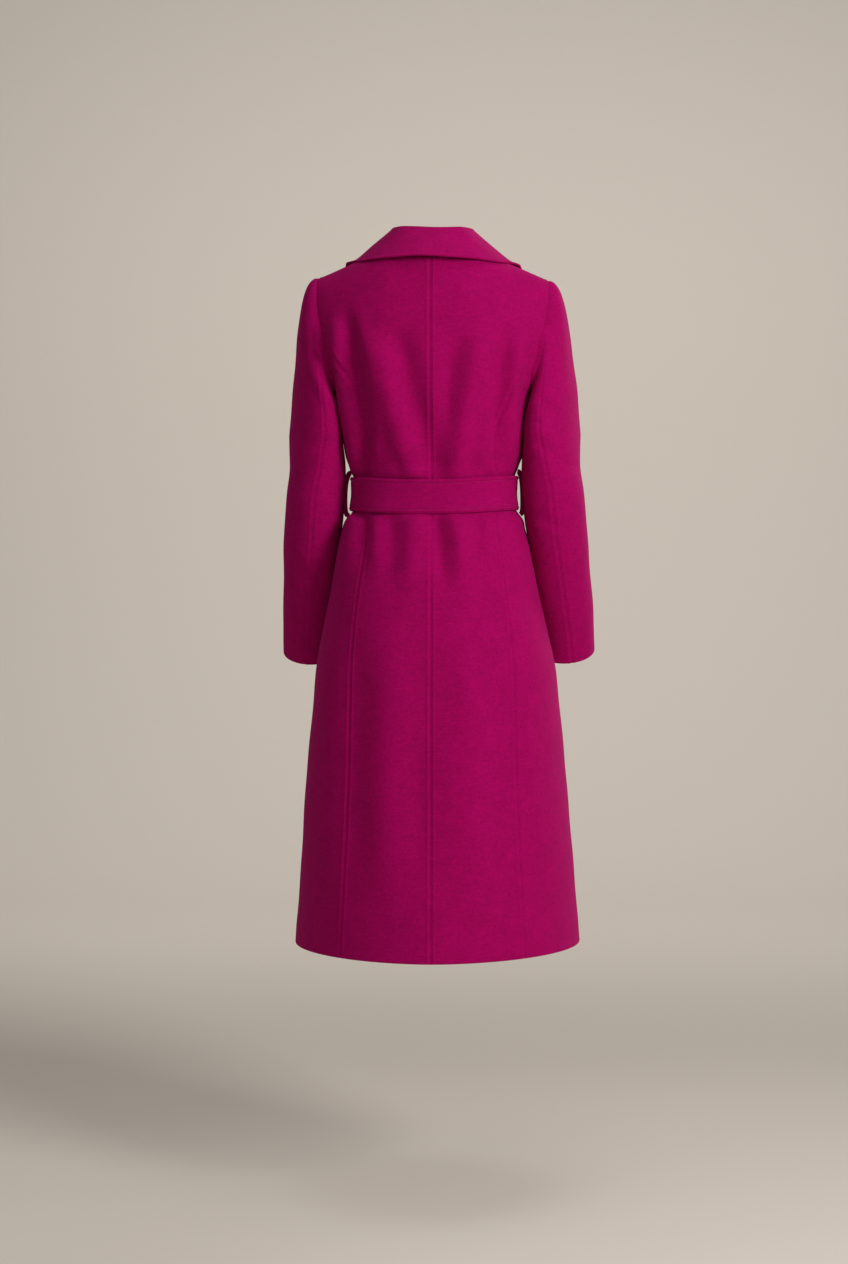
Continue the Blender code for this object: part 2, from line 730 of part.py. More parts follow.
def belt():
    turns = [2 * math.pi * k / 64 for k in range(64)]
    parts = (0, 0.12, 0.37, 0.63, 0.88, 1)
    inner = [[belt_point(a, p, 0) for a in turns] for p in parts]
    outer = [[belt_point(a, p, BELT_WALL) for a in turns] for p in parts]
    solid("belt_band", outer, inner, "belt", ring=True)


def over_belt(x, z):
    """A place on the belt's outside in front."""
    width = half_width(z)
    angle = math.pi - section_angle(x, z)
    share = abs(x) / width
    top = BELT_TOP_Z - BELT_DIP * (1 - share ** 2)
    return belt_point(angle, (top - z) / (BELT_TOP_Z - BELT_BOTTOM_Z), BELT_WALL)


def knot():
    middle_z = (BELT_TOP_Z + BELT_BOTTOM_Z) / 2 - BELT_DIP
    steps = np.linspace(-1, 1, 11)
    inner, outer = [], []
    for v in steps:
        low, high = [], []
        for u in steps:
            x = KNOT_WIDTH / 2 * u * (1 - 0.25 * v * v)
            z = middle_z - KNOT_HEIGHT / 2 * v * (1 - 0.3 * u * u)
            under = over_belt(x, z) - np.array([0, 0.0005, 0])
            swell = math.sqrt(max(0, (1 - u ** 4) * (1 - v ** 4)))
            swell *= 0.62 + 0.38 * ease((KNOT_WRAP + 0.1 - abs(u - KNOT_SLANT * v)) / 0.25)
            low.append(under)
            high.append(under - np.array([0, KNOT_EDGE + (KNOT_DEPTH - KNOT_EDGE) * swell, 0]))
        inner.append(low)
        outer.append(high)
    solid("belt_knot", outer, inner, "belt")


def belt_ends():
    top = (BELT_TOP_Z + BELT_BOTTOM_Z) / 2 - BELT_DIP - KNOT_HEIGHT / 2 - 0.004
    for name, length, top_x, foot_x in ENDS:
        inner, outer = [], []
        for s in np.linspace(0, 1, 17):
            middle = top_x + (foot_x - top_x) * math.sin(s * math.pi / 2)
            breadth = END_NECK + (BELT_TOP_Z - BELT_BOTTOM_Z - END_NECK) * ease(s / 0.22)
            across = [middle + breadth * k for k in (-0.5, -0.25, 0, 0.25, 0.5)]
            z = top - length * s
            inner.append([over_front(x, z, END_STANDOFF) for x in across])
            outer.append([over_front(x, z, END_STANDOFF + BELT_WALL) for x in across])
        solid(name, outer, inner, "belt")


def over_front(x, z, off):
    """A place over the lapped fronts, the wearer's left positive."""
    own = panel_point(-x, z, True, off)
    return own * (-1, 1, 1)


def loops():
    path = np.array([(out, z) for out, z in LOOP_PATH])
    for side, slack in LOOP_SLACK.items():
        share = np.clip(path[:, 0] / path[:, 0].max(), 0, 1) ** 1.5
        reach = path[:, 0] * (1 - share * (1 - slack))
        line = np.stack([LOOP_FOOT_X + reach, np.zeros(len(path)), path[:, 1]], axis=1)
        along = unit(np.gradient(line, axis=0))
        normal = np.stack([-along[:, 2], np.zeros(len(path)), along[:, 0]], axis=1)
        breadth = np.array([0, LOOP_WIDTH / 2, 0])
        outer = [[p + n * LOOP_WALL / 2 + k * breadth for k in (-1, 0, 1)]
                 for p, n in zip(line, normal)]
        inner = [[p - n * LOOP_WALL / 2 + k * breadth for k in (-1, 0, 1)]
                 for p, n in zip(line, normal)]
        solid("belt_loop_" + side, outer, inner, "belt", mirror=side == "right")


def clear():
    for thing in list(bpy.data.objects):
        bpy.data.objects.remove(thing)


clear()
back_centre, back_centre_normals = back_panels()
fronts = front_panels()
sleeves()
collar()
belt()
knot()
belt_ends()
loops()
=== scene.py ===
# %% [markdown]
# # Wool wrap coat
#
# A belted coat in felted wool cloth, in the hollow shape it keeps when it is worn. The solids
# of the frame give every panel its place and size. This lesson dresses them: each panel
# becomes a thin sheet of cloth with its turned hem, its seams and its soft folds.
#
# The frame is loaded first.

import math

import bmesh
import bpy
import numpy as np
from mathutils import Matrix, Vector


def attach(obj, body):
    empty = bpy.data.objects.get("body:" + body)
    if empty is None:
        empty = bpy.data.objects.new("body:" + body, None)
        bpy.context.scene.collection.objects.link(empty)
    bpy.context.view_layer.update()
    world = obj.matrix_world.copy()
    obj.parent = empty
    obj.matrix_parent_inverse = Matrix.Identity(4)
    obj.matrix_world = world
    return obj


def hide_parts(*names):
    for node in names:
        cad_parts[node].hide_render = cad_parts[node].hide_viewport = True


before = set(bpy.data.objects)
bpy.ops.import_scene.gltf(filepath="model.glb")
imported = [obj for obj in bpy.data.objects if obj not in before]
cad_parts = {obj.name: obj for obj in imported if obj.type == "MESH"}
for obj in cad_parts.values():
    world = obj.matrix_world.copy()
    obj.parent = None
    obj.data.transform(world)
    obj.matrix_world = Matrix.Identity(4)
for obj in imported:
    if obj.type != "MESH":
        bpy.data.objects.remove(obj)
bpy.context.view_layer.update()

# %% [markdown]
# ## Small helpers
#
# Everything in this lesson that is made from a mesh ends the same way, as a smooth object with
# one material, and every node of a material gets its values by name. Tables of sizes are
# written in millimetres, as a maker would, and turned into metres once.

# %% Helpers
def mm(*rows, others=0):
    """A table of lengths in millimetres, in metres. Its last columns may be others."""
    table = np.array(rows, float)
    table[..., :table.shape[-1] - others] /= 1000
    return table


def linked(name, data):
    """An object in the scene that holds this data."""
    made = bpy.data.objects.new(name, data)
    bpy.context.scene.collection.objects.link(made)
    return made


def as_object(name, mesh, finish):
    """A smooth object made from a bmesh, with its material."""
    data = bpy.data.meshes.new(name)
    mesh.to_mesh(data)
    mesh.free()
    data.shade_smooth()
    data.materials.append(finish)
    return linked(name, data)


def set_inputs(node, values):
    for key, value in values.items():
        node.inputs[key].default_value = value


def material(name, values):
    """(material, its main shader) with these values."""
    made = bpy.data.materials.new(name)
    made.use_nodes = True
    shader = made.node_tree.nodes["Principled BSDF"]
    set_inputs(shader, values)
    return made, shader


print("helpers ready")

# %% [markdown]
# ## Camera
#
# A garment is usually shown from far away with a long lens, so that its length isn't
# distorted. The camera stands 3.8 m behind the coat, a little to its right and half way down,
# and looks very slightly down. The lens is given in pixels of an image 848 x 1264, which is
# easier to measure than millimetres, and turned into millimetres on a 36 mm sensor.

# %% Camera
IMAGE_WIDTH, IMAGE_HEIGHT, FOCAL_PX, SENSOR_MM = 848, 1264, 2346, 36
DISTANCE, TURN, EYE_Z = 3.8, math.radians(2.8), -0.502
LOOK_DOWN_PX, COAT_PX = 72, 435.2       # how far the view looks down, and the coat's middle
PITCH, ROLL = math.atan(LOOK_DOWN_PX / FOCAL_PX), math.radians(-0.38)
UP = Vector((0, 0, 1))

eye = Vector((-math.sin(TURN) * DISTANCE, math.cos(TURN) * DISTANCE, EYE_Z))
level = Vector((-eye.x, -eye.y, 0)).normalized()
aside = math.atan((COAT_PX - IMAGE_WIDTH / 2) / FOCAL_PX)
level = math.cos(aside) * level - math.sin(aside) * level.cross(UP)
right = level.cross(UP)
ahead = math.cos(PITCH) * level - math.sin(PITCH) * UP
up = right.cross(ahead)
right, up = (math.cos(ROLL) * right + math.sin(ROLL) * up,
             math.cos(ROLL) * up - math.sin(ROLL) * right)

camera_data = bpy.data.cameras.new("camera")
camera_data.sensor_width = SENSOR_MM
camera_data.lens = SENSOR_MM * FOCAL_PX / IMAGE_HEIGHT
camera = linked("camera", camera_data)
turned = Matrix((right, up, -ahead)).transposed().to_4x4()
camera.matrix_world = Matrix.Translation(eye) @ turned
bpy.context.scene.camera = camera
print("lens", round(camera_data.lens, 1), "mm at", [round(c, 2) for c in eye])

# %% [markdown]
# ## Floor and light
#
# A studio sweep is one sheet of paper: a floor that rolls up into a wall, so no corner shows.
# A grid bent along its length is all it takes. Large area lights give the soft studio light:
# a key on the right of the view, which rakes across the folds, a weak one beside the camera, a
# top light for the shoulders and one for the wall. A narrow one lights the hidden side, for
# views from there.

# %% Studio sweep
FLOOR_Z, WALL_Y, SWEEP_RADIUS = -1.53, -4.8, 1.6
SWEEP_WIDTH, FLOOR_RUN, WALL_RUN = 16.0, 7.0, 3.5


def sweep_point(across, along):
    """Across from side to side, along from behind the camera to the top of the wall."""
    bend = SWEEP_RADIUS * math.pi / 2
    run = along * (FLOOR_RUN + bend + WALL_RUN)
    turn = min(max((run - FLOOR_RUN) / SWEEP_RADIUS, 0.0), math.pi / 2)
    y = WALL_Y + SWEEP_RADIUS * (1 - math.sin(turn)) + max(FLOOR_RUN - run, 0.0)
    z = SWEEP_RADIUS * (1 - math.cos(turn)) + max(run - FLOOR_RUN - bend, 0.0)
    return Vector((across * SWEEP_WIDTH, y, FLOOR_Z + z))


sheet_mesh = bmesh.new()
bmesh.ops.create_grid(sheet_mesh, x_segments=2, y_segments=96, size=0.5)
for vert in sheet_mesh.verts:
    vert.co = sweep_point(vert.co.x, vert.co.y + 0.5)
paper, _ = material("paper", {"Base Color": (0.760, 0.703, 0.636, 1), "Roughness": 0.95,
                              "Specular IOR Level": 0.1})
sweep = as_object("sweep", sheet_mesh, paper)
print("sweep", len(sweep.data.polygons), "faces")

# %% Lights
LAMP_COLOUR = (1.0, 0.98, 0.96)
LIGHTS = (
    # name, place, aim, width, height, watts, degrees of spread
    ("key", (-1.82, 1.85, 0.50), (0, 0, -0.45), 0.9, 1.2, 51, 180),
    ("front", (0.2, 3.6, 0.6), (0, 0, -0.5), 2.0, 2.0, 5, 180),
    ("top", (-0.3, 0.2, 2.4), (0, 0, -0.4), 1.8, 1.2, 17, 180),
    ("wall", (-0.05, -2.2, 0.9), (0, -4.8, -0.4), 5.0, 1.6, 38, 180),
    ("far_side", (-1.7, -2.1, 0.3), (0, 0, -0.5), 1.2, 1.4, 3.2, 52),
)
for name, at, aim, width, height, watts, spread in LIGHTS:
    lamp = bpy.data.lights.new(name, "AREA")
    lamp.shape, lamp.size, lamp.size_y = "RECTANGLE", width, height
    lamp.energy, lamp.color, lamp.spread = watts, LAMP_COLOUR, math.radians(spread)
    holder = linked(name, lamp)
    holder.location = at
    holder.visible_camera = False
    holder.rotation_euler = (Vector(aim) - Vector(at)).to_track_quat("-Z", "Y").to_euler()

room = bpy.data.worlds.new("room")
room.use_nodes = True
set_inputs(room.node_tree.nodes["Background"], {"Color": (1.0, 0.97, 0.94, 1),
                                                "Strength": 0.265})
bpy.context.scene.world = room
bpy.context.scene.view_settings.view_transform = "Standard"
print(len(LIGHTS), "lights")

# %% [markdown]
# ## Wool cloth
#
# Coating is wool that was woven, then milled until the fibres felt together, and brushed. The
# weave hardly shows. What shows is a short nap with small clumps of fibre, a colour that is
# never quite even because light and dark fibres are mixed, and a soft bright rim where the
# nap catches the light. So the material has three things: colour mottled at two scales, a
# bump of fibres that is longer down the cloth than across, and sheen for the rim.

# %% Wool material
def node_of(tree, kind, values, sources, **settings):
    """A new node with its settings, its values and what its inputs are linked from."""
    node = tree.nodes.new("ShaderNode" + kind)
    for key, value in settings.items():
        setattr(node, key, value)
    set_inputs(node, values)
    for key, source in sources.items():
        tree.links.new(source, node.inputs[key])
    return node


def ramp(tree, source, low, high, dark, light):
    """A colour ramp between two colours, read from a noise."""
    node = node_of(tree, "ValToRGB", {}, {"Fac": source})
    for element, position, colour in zip(node.color_ramp.elements, (low, high), (dark, light)):
        element.position, element.color = position, (*colour, 1)
    return node.outputs["Color"]


def noise(tree, place, stretch, scale, detail, roughness):
    """A noise, stretched along its axes where that is asked for."""
    if stretch:
        place = node_of(tree, "Mapping", {"Scale": stretch},
                        {"Vector": place}).outputs["Vector"]
    return node_of(tree, "TexNoise", {"Scale": scale, "Detail": detail, "Roughness": roughness},
                   {"Vector": place}).outputs["Fac"]


def shaded(tree, colour, shade):
    """A colour multiplied by another one."""
    return node_of(tree, "Mix", {"Factor": 1.0}, {"A": colour, "B": shade},
                   data_type="RGBA", blend_type="MULTIPLY").outputs["Result"]


def grey(level):
    return (level, level, level)


def wool(name, dark, light, nap=0.35):
    """Milled wool: dark and light are the colours of its fibres."""
    made, shader = material(name, {
        "Roughness": 0.92, "Specular IOR Level": 0.06, "Sheen Weight": 0.10,
        "Sheen Roughness": 0.45, "Sheen Tint": (1.0, 0.05, 0.55, 1)})
    tree = made.node_tree
    place = tree.nodes.new("ShaderNodeTexCoord").outputs["Object"]
    down = (0.55, 0.55, 0.85)
    clumps = noise(tree, place, down, 400, 5, 0.62)
    fibres = noise(tree, place, down, 1500, 3, 0.7)
    clouds = noise(tree, place, None, 38, 3, 0.5)
    streaks = noise(tree, place, (0.16, 0.16, 1.5), 330, 2, 0.5)

    colour = ramp(tree, clumps, 0.30, 0.72, dark, light)
    colour = shaded(tree, colour, ramp(tree, clouds, 0.30, 0.70, grey(0.94), grey(1.04)))
    colour = shaded(tree, colour, ramp(tree, streaks, 0.40, 0.66, grey(1.02), grey(0.92)))
    tree.links.new(colour, shader.inputs["Base Color"])

    heights = node_of(tree, "Math", {1: 0.45}, {0: fibres, 2: clumps},
                      operation="MULTIPLY_ADD").outputs["Value"]
    bumped = node_of(tree, "Bump", {"Strength": nap, "Distance": 0.0012},
                     {"Height": heights})
    tree.links.new(bumped.outputs["Normal"], shader.inputs["Normal"])
    return made


MELTON = wool("melton", (0.300, 0.0004, 0.080), (0.420, 0.0010, 0.120))
COLLAR_WOOL = wool("collar_wool", (0.305, 0.0004, 0.082), (0.425, 0.0010, 0.122))
BELT_WOOL = wool("belt_wool", (0.300, 0.0004, 0.080), (0.415, 0.0010, 0.118), nap=0.30)
THREAD, _ = material("thread", {"Base Color": (0.44, 0.004, 0.14, 1), "Roughness": 0.55})
print(len(bpy.data.materials), "materials")

# %% [markdown]
# ## The form of the coat
#
# A pattern cutter thinks of the body of a coat as level sections: how wide, how deep behind
# and in front. Between the sections the cloth runs smoothly. The sizes are close to those of
# the solids: the body is a few millimetres narrower under the arms, and the back is fuller
# under the neck. The helpers work on whole arrays of places at once, because cloth needs many
# points.

# %% Sections of the body
BUST_Z = -0.300
BODY = mm(
    # z, half_width, back_depth, front_depth, power of the section's oval
    (-1120, 230.7, 224, 216, 1.84),
    (-1053, 224.8, 215, 208, 1.87),
    (-956, 218, 202, 197, 1.92),
    (-826, 208.6, 185, 183, 1.99),
    (-729, 199, 172, 171, 2.04),
    (-656, 191, 160, 161, 2.09),
    (-607, 182.8, 150, 153, 2.12),
    (-559, 173.5, 141, 145, 2.15),
    (-518, 166, 131, 136, 2.19),
    (-470, 155.8, 119, 125, 2.22),
    (-445, 148.5, 112, 118, 2.24),
    (-424, 133.5, 106, 112, 2.28),
    (-395, 128.5, 101, 107, 2.3),
    (-363, 130.5, 103, 109, 2.3),
    (-335, 142.8, 110, 116, 2.3),
    (-300, 148.6, 115, 122, 2.3),
    (-270, 153, 118, 126, 2.3),
    (-235, 160.4, 120, 127, 2.3),
    (-229, 164, 120, 127, 2.3),
    (-208, 170, 121, 126, 2.3),
    (-190, 176, 121, 125, 2.3),
    (-168, 183, 121, 124, 2.3),
    (-147, 189, 121, 122, 2.3),
    (-123, 193.5, 121, 119, 2.3),
    (-100, 196, 120, 116, 2.3),
    (-57, 198.5, 119, 110, 2.3),
    (0, 199, 118, 104, 2.3),
    others=1,
)
BACK_TOP_POWER, FRONT_TOP_POWER, NECK_POWER = 2.5, 2.4, 2.2
BACK_FULL = 0.056       # how full the back is just under the neckline
FULL_X, FULL_Z = 0.165, 0.024   # how far out it is full, and how far down it swells
NECK_X, NAPE_Y, NAPE_Z = 0.070, 0.060, -0.005
TIP_X, TIP_Y, TIP_Z = 0.1865, -0.005, -0.050


def lookup(table, key):
    """The other columns of a table at keys between its rows, on a smooth line."""
    rows = np.asarray(table, float)
    if rows[0, 0] > rows[-1, 0]:
        rows = rows[::-1]
    keys, values = rows[:, 0], rows[:, 1:]
    key = np.asarray(key, float)
    rises = np.diff(values, axis=0) / np.diff(keys)[:, None]
    slopes = np.concatenate([rises[:1], rises[:-1], rises[-1:]])[:len(keys)]
    before, after = rises[:-1], rises[1:]
    same = before * after > 0
    slopes[1:-1] = np.where(same, 2 * before * after / np.where(same, before + after, 1), 0)
    slopes[-1] = rises[-1]
    i = np.clip(np.searchsorted(keys, key) - 1, 0, len(keys) - 2)
    span = (keys[i + 1] - keys[i])[..., None]
    u = np.clip((key - keys[i]) / (keys[i + 1] - keys[i]), 0, 1)[..., None]
    return ((1 + 2 * u) * (1 - u) ** 2 * values[i] + u * u * (3 - 2 * u) * values[i + 1]
            + span * u * (1 - u) * ((1 - u) * slopes[i] - u * slopes[i + 1]))


def ease(u):
    """From 0 to 1 on a soft S."""
    u = np.clip(u, 0.0, 1.0)
    return u * u * (3 - 2 * u)


def hump(distance, width):
    """A smooth bump, 1 high where the distance is 0."""
    return np.exp(-(distance / width) ** 2)


def waves(a, b, *rows):
    """A sum of slow waves over two places, each (height, how fast in a, in b, start)."""
    return sum(high * np.sin(fast_a * a + fast_b * b + start)
               for high, fast_a, fast_b, start in rows)


def bent(v, power):
    """A power that keeps the sign."""
    return np.sign(v) * np.abs(v) ** power


def unit(v):
    return v / np.maximum(np.linalg.norm(v, axis=-1, keepdims=True), 1e-12)


def run_along(line):
    """Distance of every point of a line from its first one."""
    steps = np.linalg.norm(np.diff(line, axis=-2), axis=-1)
    return np.concatenate([np.zeros_like(steps[..., :1]), np.cumsum(steps, axis=-1)], axis=-1)


def between(at, keys, points):
    """Points at places between keys, on straight lines."""
    return np.stack([np.interp(at, keys, column) for column in points.T], axis=-1)


def section_angle(x, z):
    body = lookup(BODY, z)
    return np.arcsin(bent(np.clip(x / body[..., 0], -1, 1), body[..., 3] / 2))


def section_x(angle, z):
    body = lookup(BODY, z)
    return bent(np.sin(angle), 2 / body[..., 3]) * body[..., 0]


def top_edge(x, front):
    """(y, z) of the neckline and the shoulder seam."""
    x = np.abs(x)
    along = (x - NECK_X) / (TIP_X - NECK_X)
    across = np.clip(x / NECK_X, 0, 1)
    neck_y = NAPE_Y * (1 - across ** NECK_POWER) ** (1 / NECK_POWER) if not front else 0 * x
    neck_z = NAPE_Z * (1 - across ** 2) if not front else 0 * x
    shoulder = x >= NECK_X
    return np.where(shoulder, TIP_Y * along, neck_y), np.where(shoulder, TIP_Z * along, neck_z)


def body_point(x, z, front):
    """The outside of the cloth at places in the front view."""
    x, z = np.broadcast_arrays(np.asarray(x, float), np.asarray(z, float))
    width, back, fore, oval = np.moveaxis(lookup(BODY, z), -1, 0)
    share = np.minimum(np.abs(x) / width, 1)
    depth = (fore if front else back) * (1 - share ** oval) ** (1 / oval)
    top_y, top_z = top_edge(x, front)
    if not front:
        full = BACK_FULL * (1 - ease(np.abs(x) / FULL_X))
        top_y = top_y + ease((top_z - z) / FULL_Z) * (full - top_y)
    power = FRONT_TOP_POWER if front else BACK_TOP_POWER
    rise = np.clip((z - BUST_Z) / (top_z - BUST_Z), 0, 1)
    top_y = -top_y if front else top_y
    depth = np.where(z > BUST_Z, top_y + (depth - top_y) * (1 - rise ** power) ** (1 / power),
                     depth)
    return np.stack([x, -depth if front else depth, z], axis=-1)


print("width at the hem", round(2 * float(lookup(BODY, BODY[0, 0])[0]), 3), "m")

# %% [markdown]
# ## The lines of the cut
#
# The armhole, the princess seam that shapes the back, and the edge of each front are drawn
# as short tables. Rows of points run from the hem to the shoulder seam: level on the skirt,
# and higher up they fan out so that the top row is the neckline and the shoulder seam.

# %% Seam lines and rows
ARMHOLE = mm(
    # z, back_x, front_x
    (-235, 159, 159), (-233.5, 158.3, 157.7), (-229, 157.7, 156.2), (-221, 157.2, 155),
    (-208, 157.5, 154.5), (-190, 160.5, 155), (-168, 165.5, 157.5), (-147, 170.5, 161.5),
    (-123, 177.5, 167), (-100, 182, 172.5), (-76, 184.5, 178.5), (-60, 186, 183.5),
    (-50, 186.5, 186.5),
)
PRINCESS = mm(
    # z, x on the back
    (-1120, 144), (-1000, 139), (-900, 135), (-820, 132), (-700, 130), (-650, 128), (-600, 124),
    (-567, 120), (-510, 113), (-470, 108), (-425, 102), (-398, 99), (-330, 101), (-285, 109),
    (-256, 118), (-225, 127), (-188, 145), (-152, 163), (-120, 178),
)
FRONT_EDGE = mm(
    # z, x of the front's inner edge, its own side positive
    (-1120, -90), (-700, -87), (-345, -85), (-320, -69), (-300, -56), (-250, -26), (-200, 2),
    (-150, 28), (-100, 48.5), (-50, 62), (-20, 67.5), (0, 70),
)
LAP_LIFT = mm(
    # z, how far the right front stands off to clear what it laps over
    (-1120, 4.5), (-400, 4.5), (-375, 5), (-352, 10.8), (-180, 10.8), (-140, 6), (-100, 0.8),
    (-80, 0), (0, 0),
)
LAP = 0.085             # how far past the middle the right front laps
LAP_START, LAP_FULL = 1.25, 0.72    # angles round the section between which it lifts off
LOW_ROWS = mm(-1120, -1050, -970, -890, -810, -740, -675, -615, -560, -510, -470, -445, -424,
              -396, -368, -345, -322)
HIGH_ROWS = mm(
    # side_z, back_z, front_z
    (-300, -300, -300), (-268, -268, -272), (-235, -236, -245), (-233.5, -215, -222),
    (-229, -195, -200), (-221, -176, -178), (-208, -157, -156), (-190, -138, -134),
    (-168, -120, -113), (-147, -102, -92), (-127.5, -84, -75), (-124.5, -68, -61),
    (-104, -52, -48), (-85, -38, -34), (-68, -25, -20), (-56.5, -14, -9), (-50, -5, 0),
)
LOW, TOP = len(LOW_ROWS), len(HIGH_ROWS) - 1
UNDERARM_ROW, PRINCESS_ROW, NECK_T = 2, 10, 0.4
SEAM_END = 0.9995       # t of the princess seam where it runs into the armhole
ROWS = ([(k - LOW, z, z, z) for k, z in enumerate(LOW_ROWS)]
        + [(k, *row) for k, row in enumerate(HIGH_ROWS)])


def place(number, t, front):
    """(x, z) on a row, t going from the centre back or the front edge to the side."""
    side_z, back_z, front_z = np.moveaxis(lookup(ROWS, number), -1, 0)
    rounding = (np.maximum(number, 0) / TOP) ** 3
    near_z = front_z if front else back_z
    near_x = lookup(FRONT_EDGE, near_z)[..., 0] if front else 0 * near_z
    far_x = np.where(side_z <= HIGH_ROWS[UNDERARM_ROW][0], lookup(BODY, side_z)[..., 0],
                     lookup(ARMHOLE, side_z)[..., 1 if front else 0])
    z = near_z + (side_z - near_z) * t
    near, far = section_angle(near_x, near_z), section_angle(far_x, side_z)
    x = section_x(near + (far - near) * t, z)
    if front:
        top_x, top_z = NECK_X + (TIP_X - NECK_X) * t, TIP_Z * t
    else:
        top_x = np.where(t < NECK_T, NECK_X * t / NECK_T,
                         NECK_X + (TIP_X - NECK_X) * (t - NECK_T) / (1 - NECK_T))
        top_z = top_edge(top_x, False)[1]
        z = z + rounding * (top_z - (NAPE_Z + (TIP_Z - NAPE_Z) * t))
    x = x + rounding * (top_x - x)
    last = number >= TOP
    return np.where(last, top_x, x), np.where(last, top_z, z)


def on_body(number, t, front):
    """The outside of the cloth on a row."""
    number, t = np.broadcast_arrays(np.asarray(number, float), np.asarray(t, float))
    x, z = place(number, t, front)
    points = body_point(x, z, front)
    points[..., 1] = np.where(number >= TOP, top_edge(x, front)[0], points[..., 1])
    side = (t == 1) & (number <= UNDERARM_ROW)
    points[..., 1] = np.where(side, 0.0, points[..., 1])
    return points


def princess_t(number):
    """How far along a back row the princess seam lies."""
    low, high = np.zeros_like(number), np.ones_like(number)
    for _ in range(30):
        middle = (low + high) / 2
        x, z = place(number, middle, False)
        inside = x < lookup(PRINCESS, z)[..., 0]
        low, high = np.where(inside, middle, low), np.where(inside, high, middle)
    return np.where(number >= PRINCESS_ROW, 1.0, np.minimum(low, SEAM_END))


def fine_rows(low, high, step):
    """Row numbers from low to high, close enough for rows about a step apart."""
    numbers = []
    for k in range(math.floor(low), math.ceil(high)):
        ends = np.array([max(k, low), min(k + 1, high)])
        rise = np.abs(np.diff(lookup(ROWS, ends), axis=0)).max()
        numbers += list(np.linspace(*ends, max(2, math.ceil(rise / step)), endpoint=False))
    return np.array(numbers + [high])


BACK_STEP, FRONT_STEP = 0.0048, 0.0056
print(len(fine_rows(-LOW, TOP, BACK_STEP)), "rows behind from hem to shoulder")

# %% [markdown]
# ## Columns and seams
#
# Where two panels are sewn the cloth turns in, so the seam is a narrow valley with a soft
# ridge on both sides, where the pressed seam allowances lie underneath. A valley 2 mm wide
# needs points closer together than the rest of the cloth. So each row is measured along its
# curve and gets columns that crowd towards its two edges.

# %% Columns along a row
EDGE_STEPS = np.array((0, 0.4, 0.9, 1.6, 2.6, 3.7, 4.6, 5.5, 6.7, 8.8)) / 1000
EDGE_SHARE = 0.30       # how much of a narrow row the crowded columns may take at each side
VALLEY, VALLEY_WIDTH = 0.0005, 0.0011
RIDGE, RIDGE_AT, RIDGE_WIDTH = 0.0008, 0.0049, 0.0014
DRAW_IN, DRAW_IN_WIDTH = 0.0003, 0.0035
ROW_SAMPLES = 60        # places at which a row is measured


def crowded(run, count):
    """Distances along a line this long that crowd towards both of its ends."""
    edge = EDGE_STEPS * min(1.0, EDGE_SHARE * run / EDGE_STEPS[-1])
    return np.concatenate([edge[:-1], np.linspace(edge[-1], run - edge[-1], count),
                           run - edge[:-1][::-1]])


def columns(numbers, start, end, front, count):
    """For each row, t of its columns and their distance from its start and its end."""
    start, end = (np.broadcast_to(np.asarray(t, float), numbers.shape) for t in (start, end))
    t = start[:, None] + (end - start)[:, None] * np.linspace(0, 1, ROW_SAMPLES)
    runs = run_along(on_body(numbers[:, None], t, front))
    before = np.array([crowded(run[-1], count) for run in runs])
    made = np.array([np.interp(at, run, row_t) for at, run, row_t in zip(before, runs, t)])
    made[:, 0], made[:, -1] = start, end
    return made, before, runs[:, -1:] - before


def seam(distance):
    """Height of the cloth at a distance from a sewn edge."""
    return (RIDGE * hump(distance - RIDGE_AT, RIDGE_WIDTH) - VALLEY * hump(distance, VALLEY_WIDTH)
            - DRAW_IN * hump(distance, DRAW_IN_WIDTH))


def facing(points, outward):
    """Unit normals of a grid of points, turned to face the way outward does."""
    down, across = np.gradient(points, axis=0), np.gradient(points, axis=1)
    normals = unit(np.cross(down, across))
    return normals if (normals * outward).sum() > 0 else -normals


def lap_lift(points):
    """How far the right front stands off the body, its own side positive."""
    angle = section_angle(points[..., 0], points[..., 2])
    return (lookup(LAP_LIFT, points[..., 2])[..., 0]
            * ease((LAP_START - angle) / (LAP_START - LAP_FULL)))


def torso(front, numbers, t, lifted=False):
    """(points, normals) of a half of the body."""
    points = on_body(numbers[:, None], t, front)
    outward = np.array([0, -1.0 if front else 1.0, 0]) + points * (1, 0, 0)
    normals = facing(points, outward)
    low = numbers <= UNDERARM_ROW
    if np.allclose(t[low, -1], 1):
        normals[low, -1] = unit(normals[low, -1] * (1, 0, 1) + np.array([1e-6, 0, 0]))
    if not front and np.allclose(t[:, 0], 0):
        normals[:, 0] = unit(normals[:, 0] * (0, 1, 1))
    if numbers[-1] >= TOP:
        crest = unit(np.array([-TIP_Z, 0, TIP_X - NECK_X]))
        normals[-1] = np.where(points[-1, :, :1] > NECK_X - 1e-9, crest, normals[-1])
    if lifted:
        points = points + lap_lift(points)[..., None] * normals
    return points, normals


print("valley", VALLEY * 1000, "mm deep, ridges", RIDGE * 1000, "mm high")

# %% [markdown]
# ## Folds
#
# Heavy wool makes few, soft folds. They start where something pulls: at the belt, at the
# armhole and inside the elbow. Each fold here is one row of a table: a curve through three
# places on the coat, how deep it is and how wide, and how quickly it fades in at its start.
# A depth below zero makes a ridge. The cloth beside a trough rises a little, because it has
# to go somewhere. The hidden front has folds of its own, of the same kind.

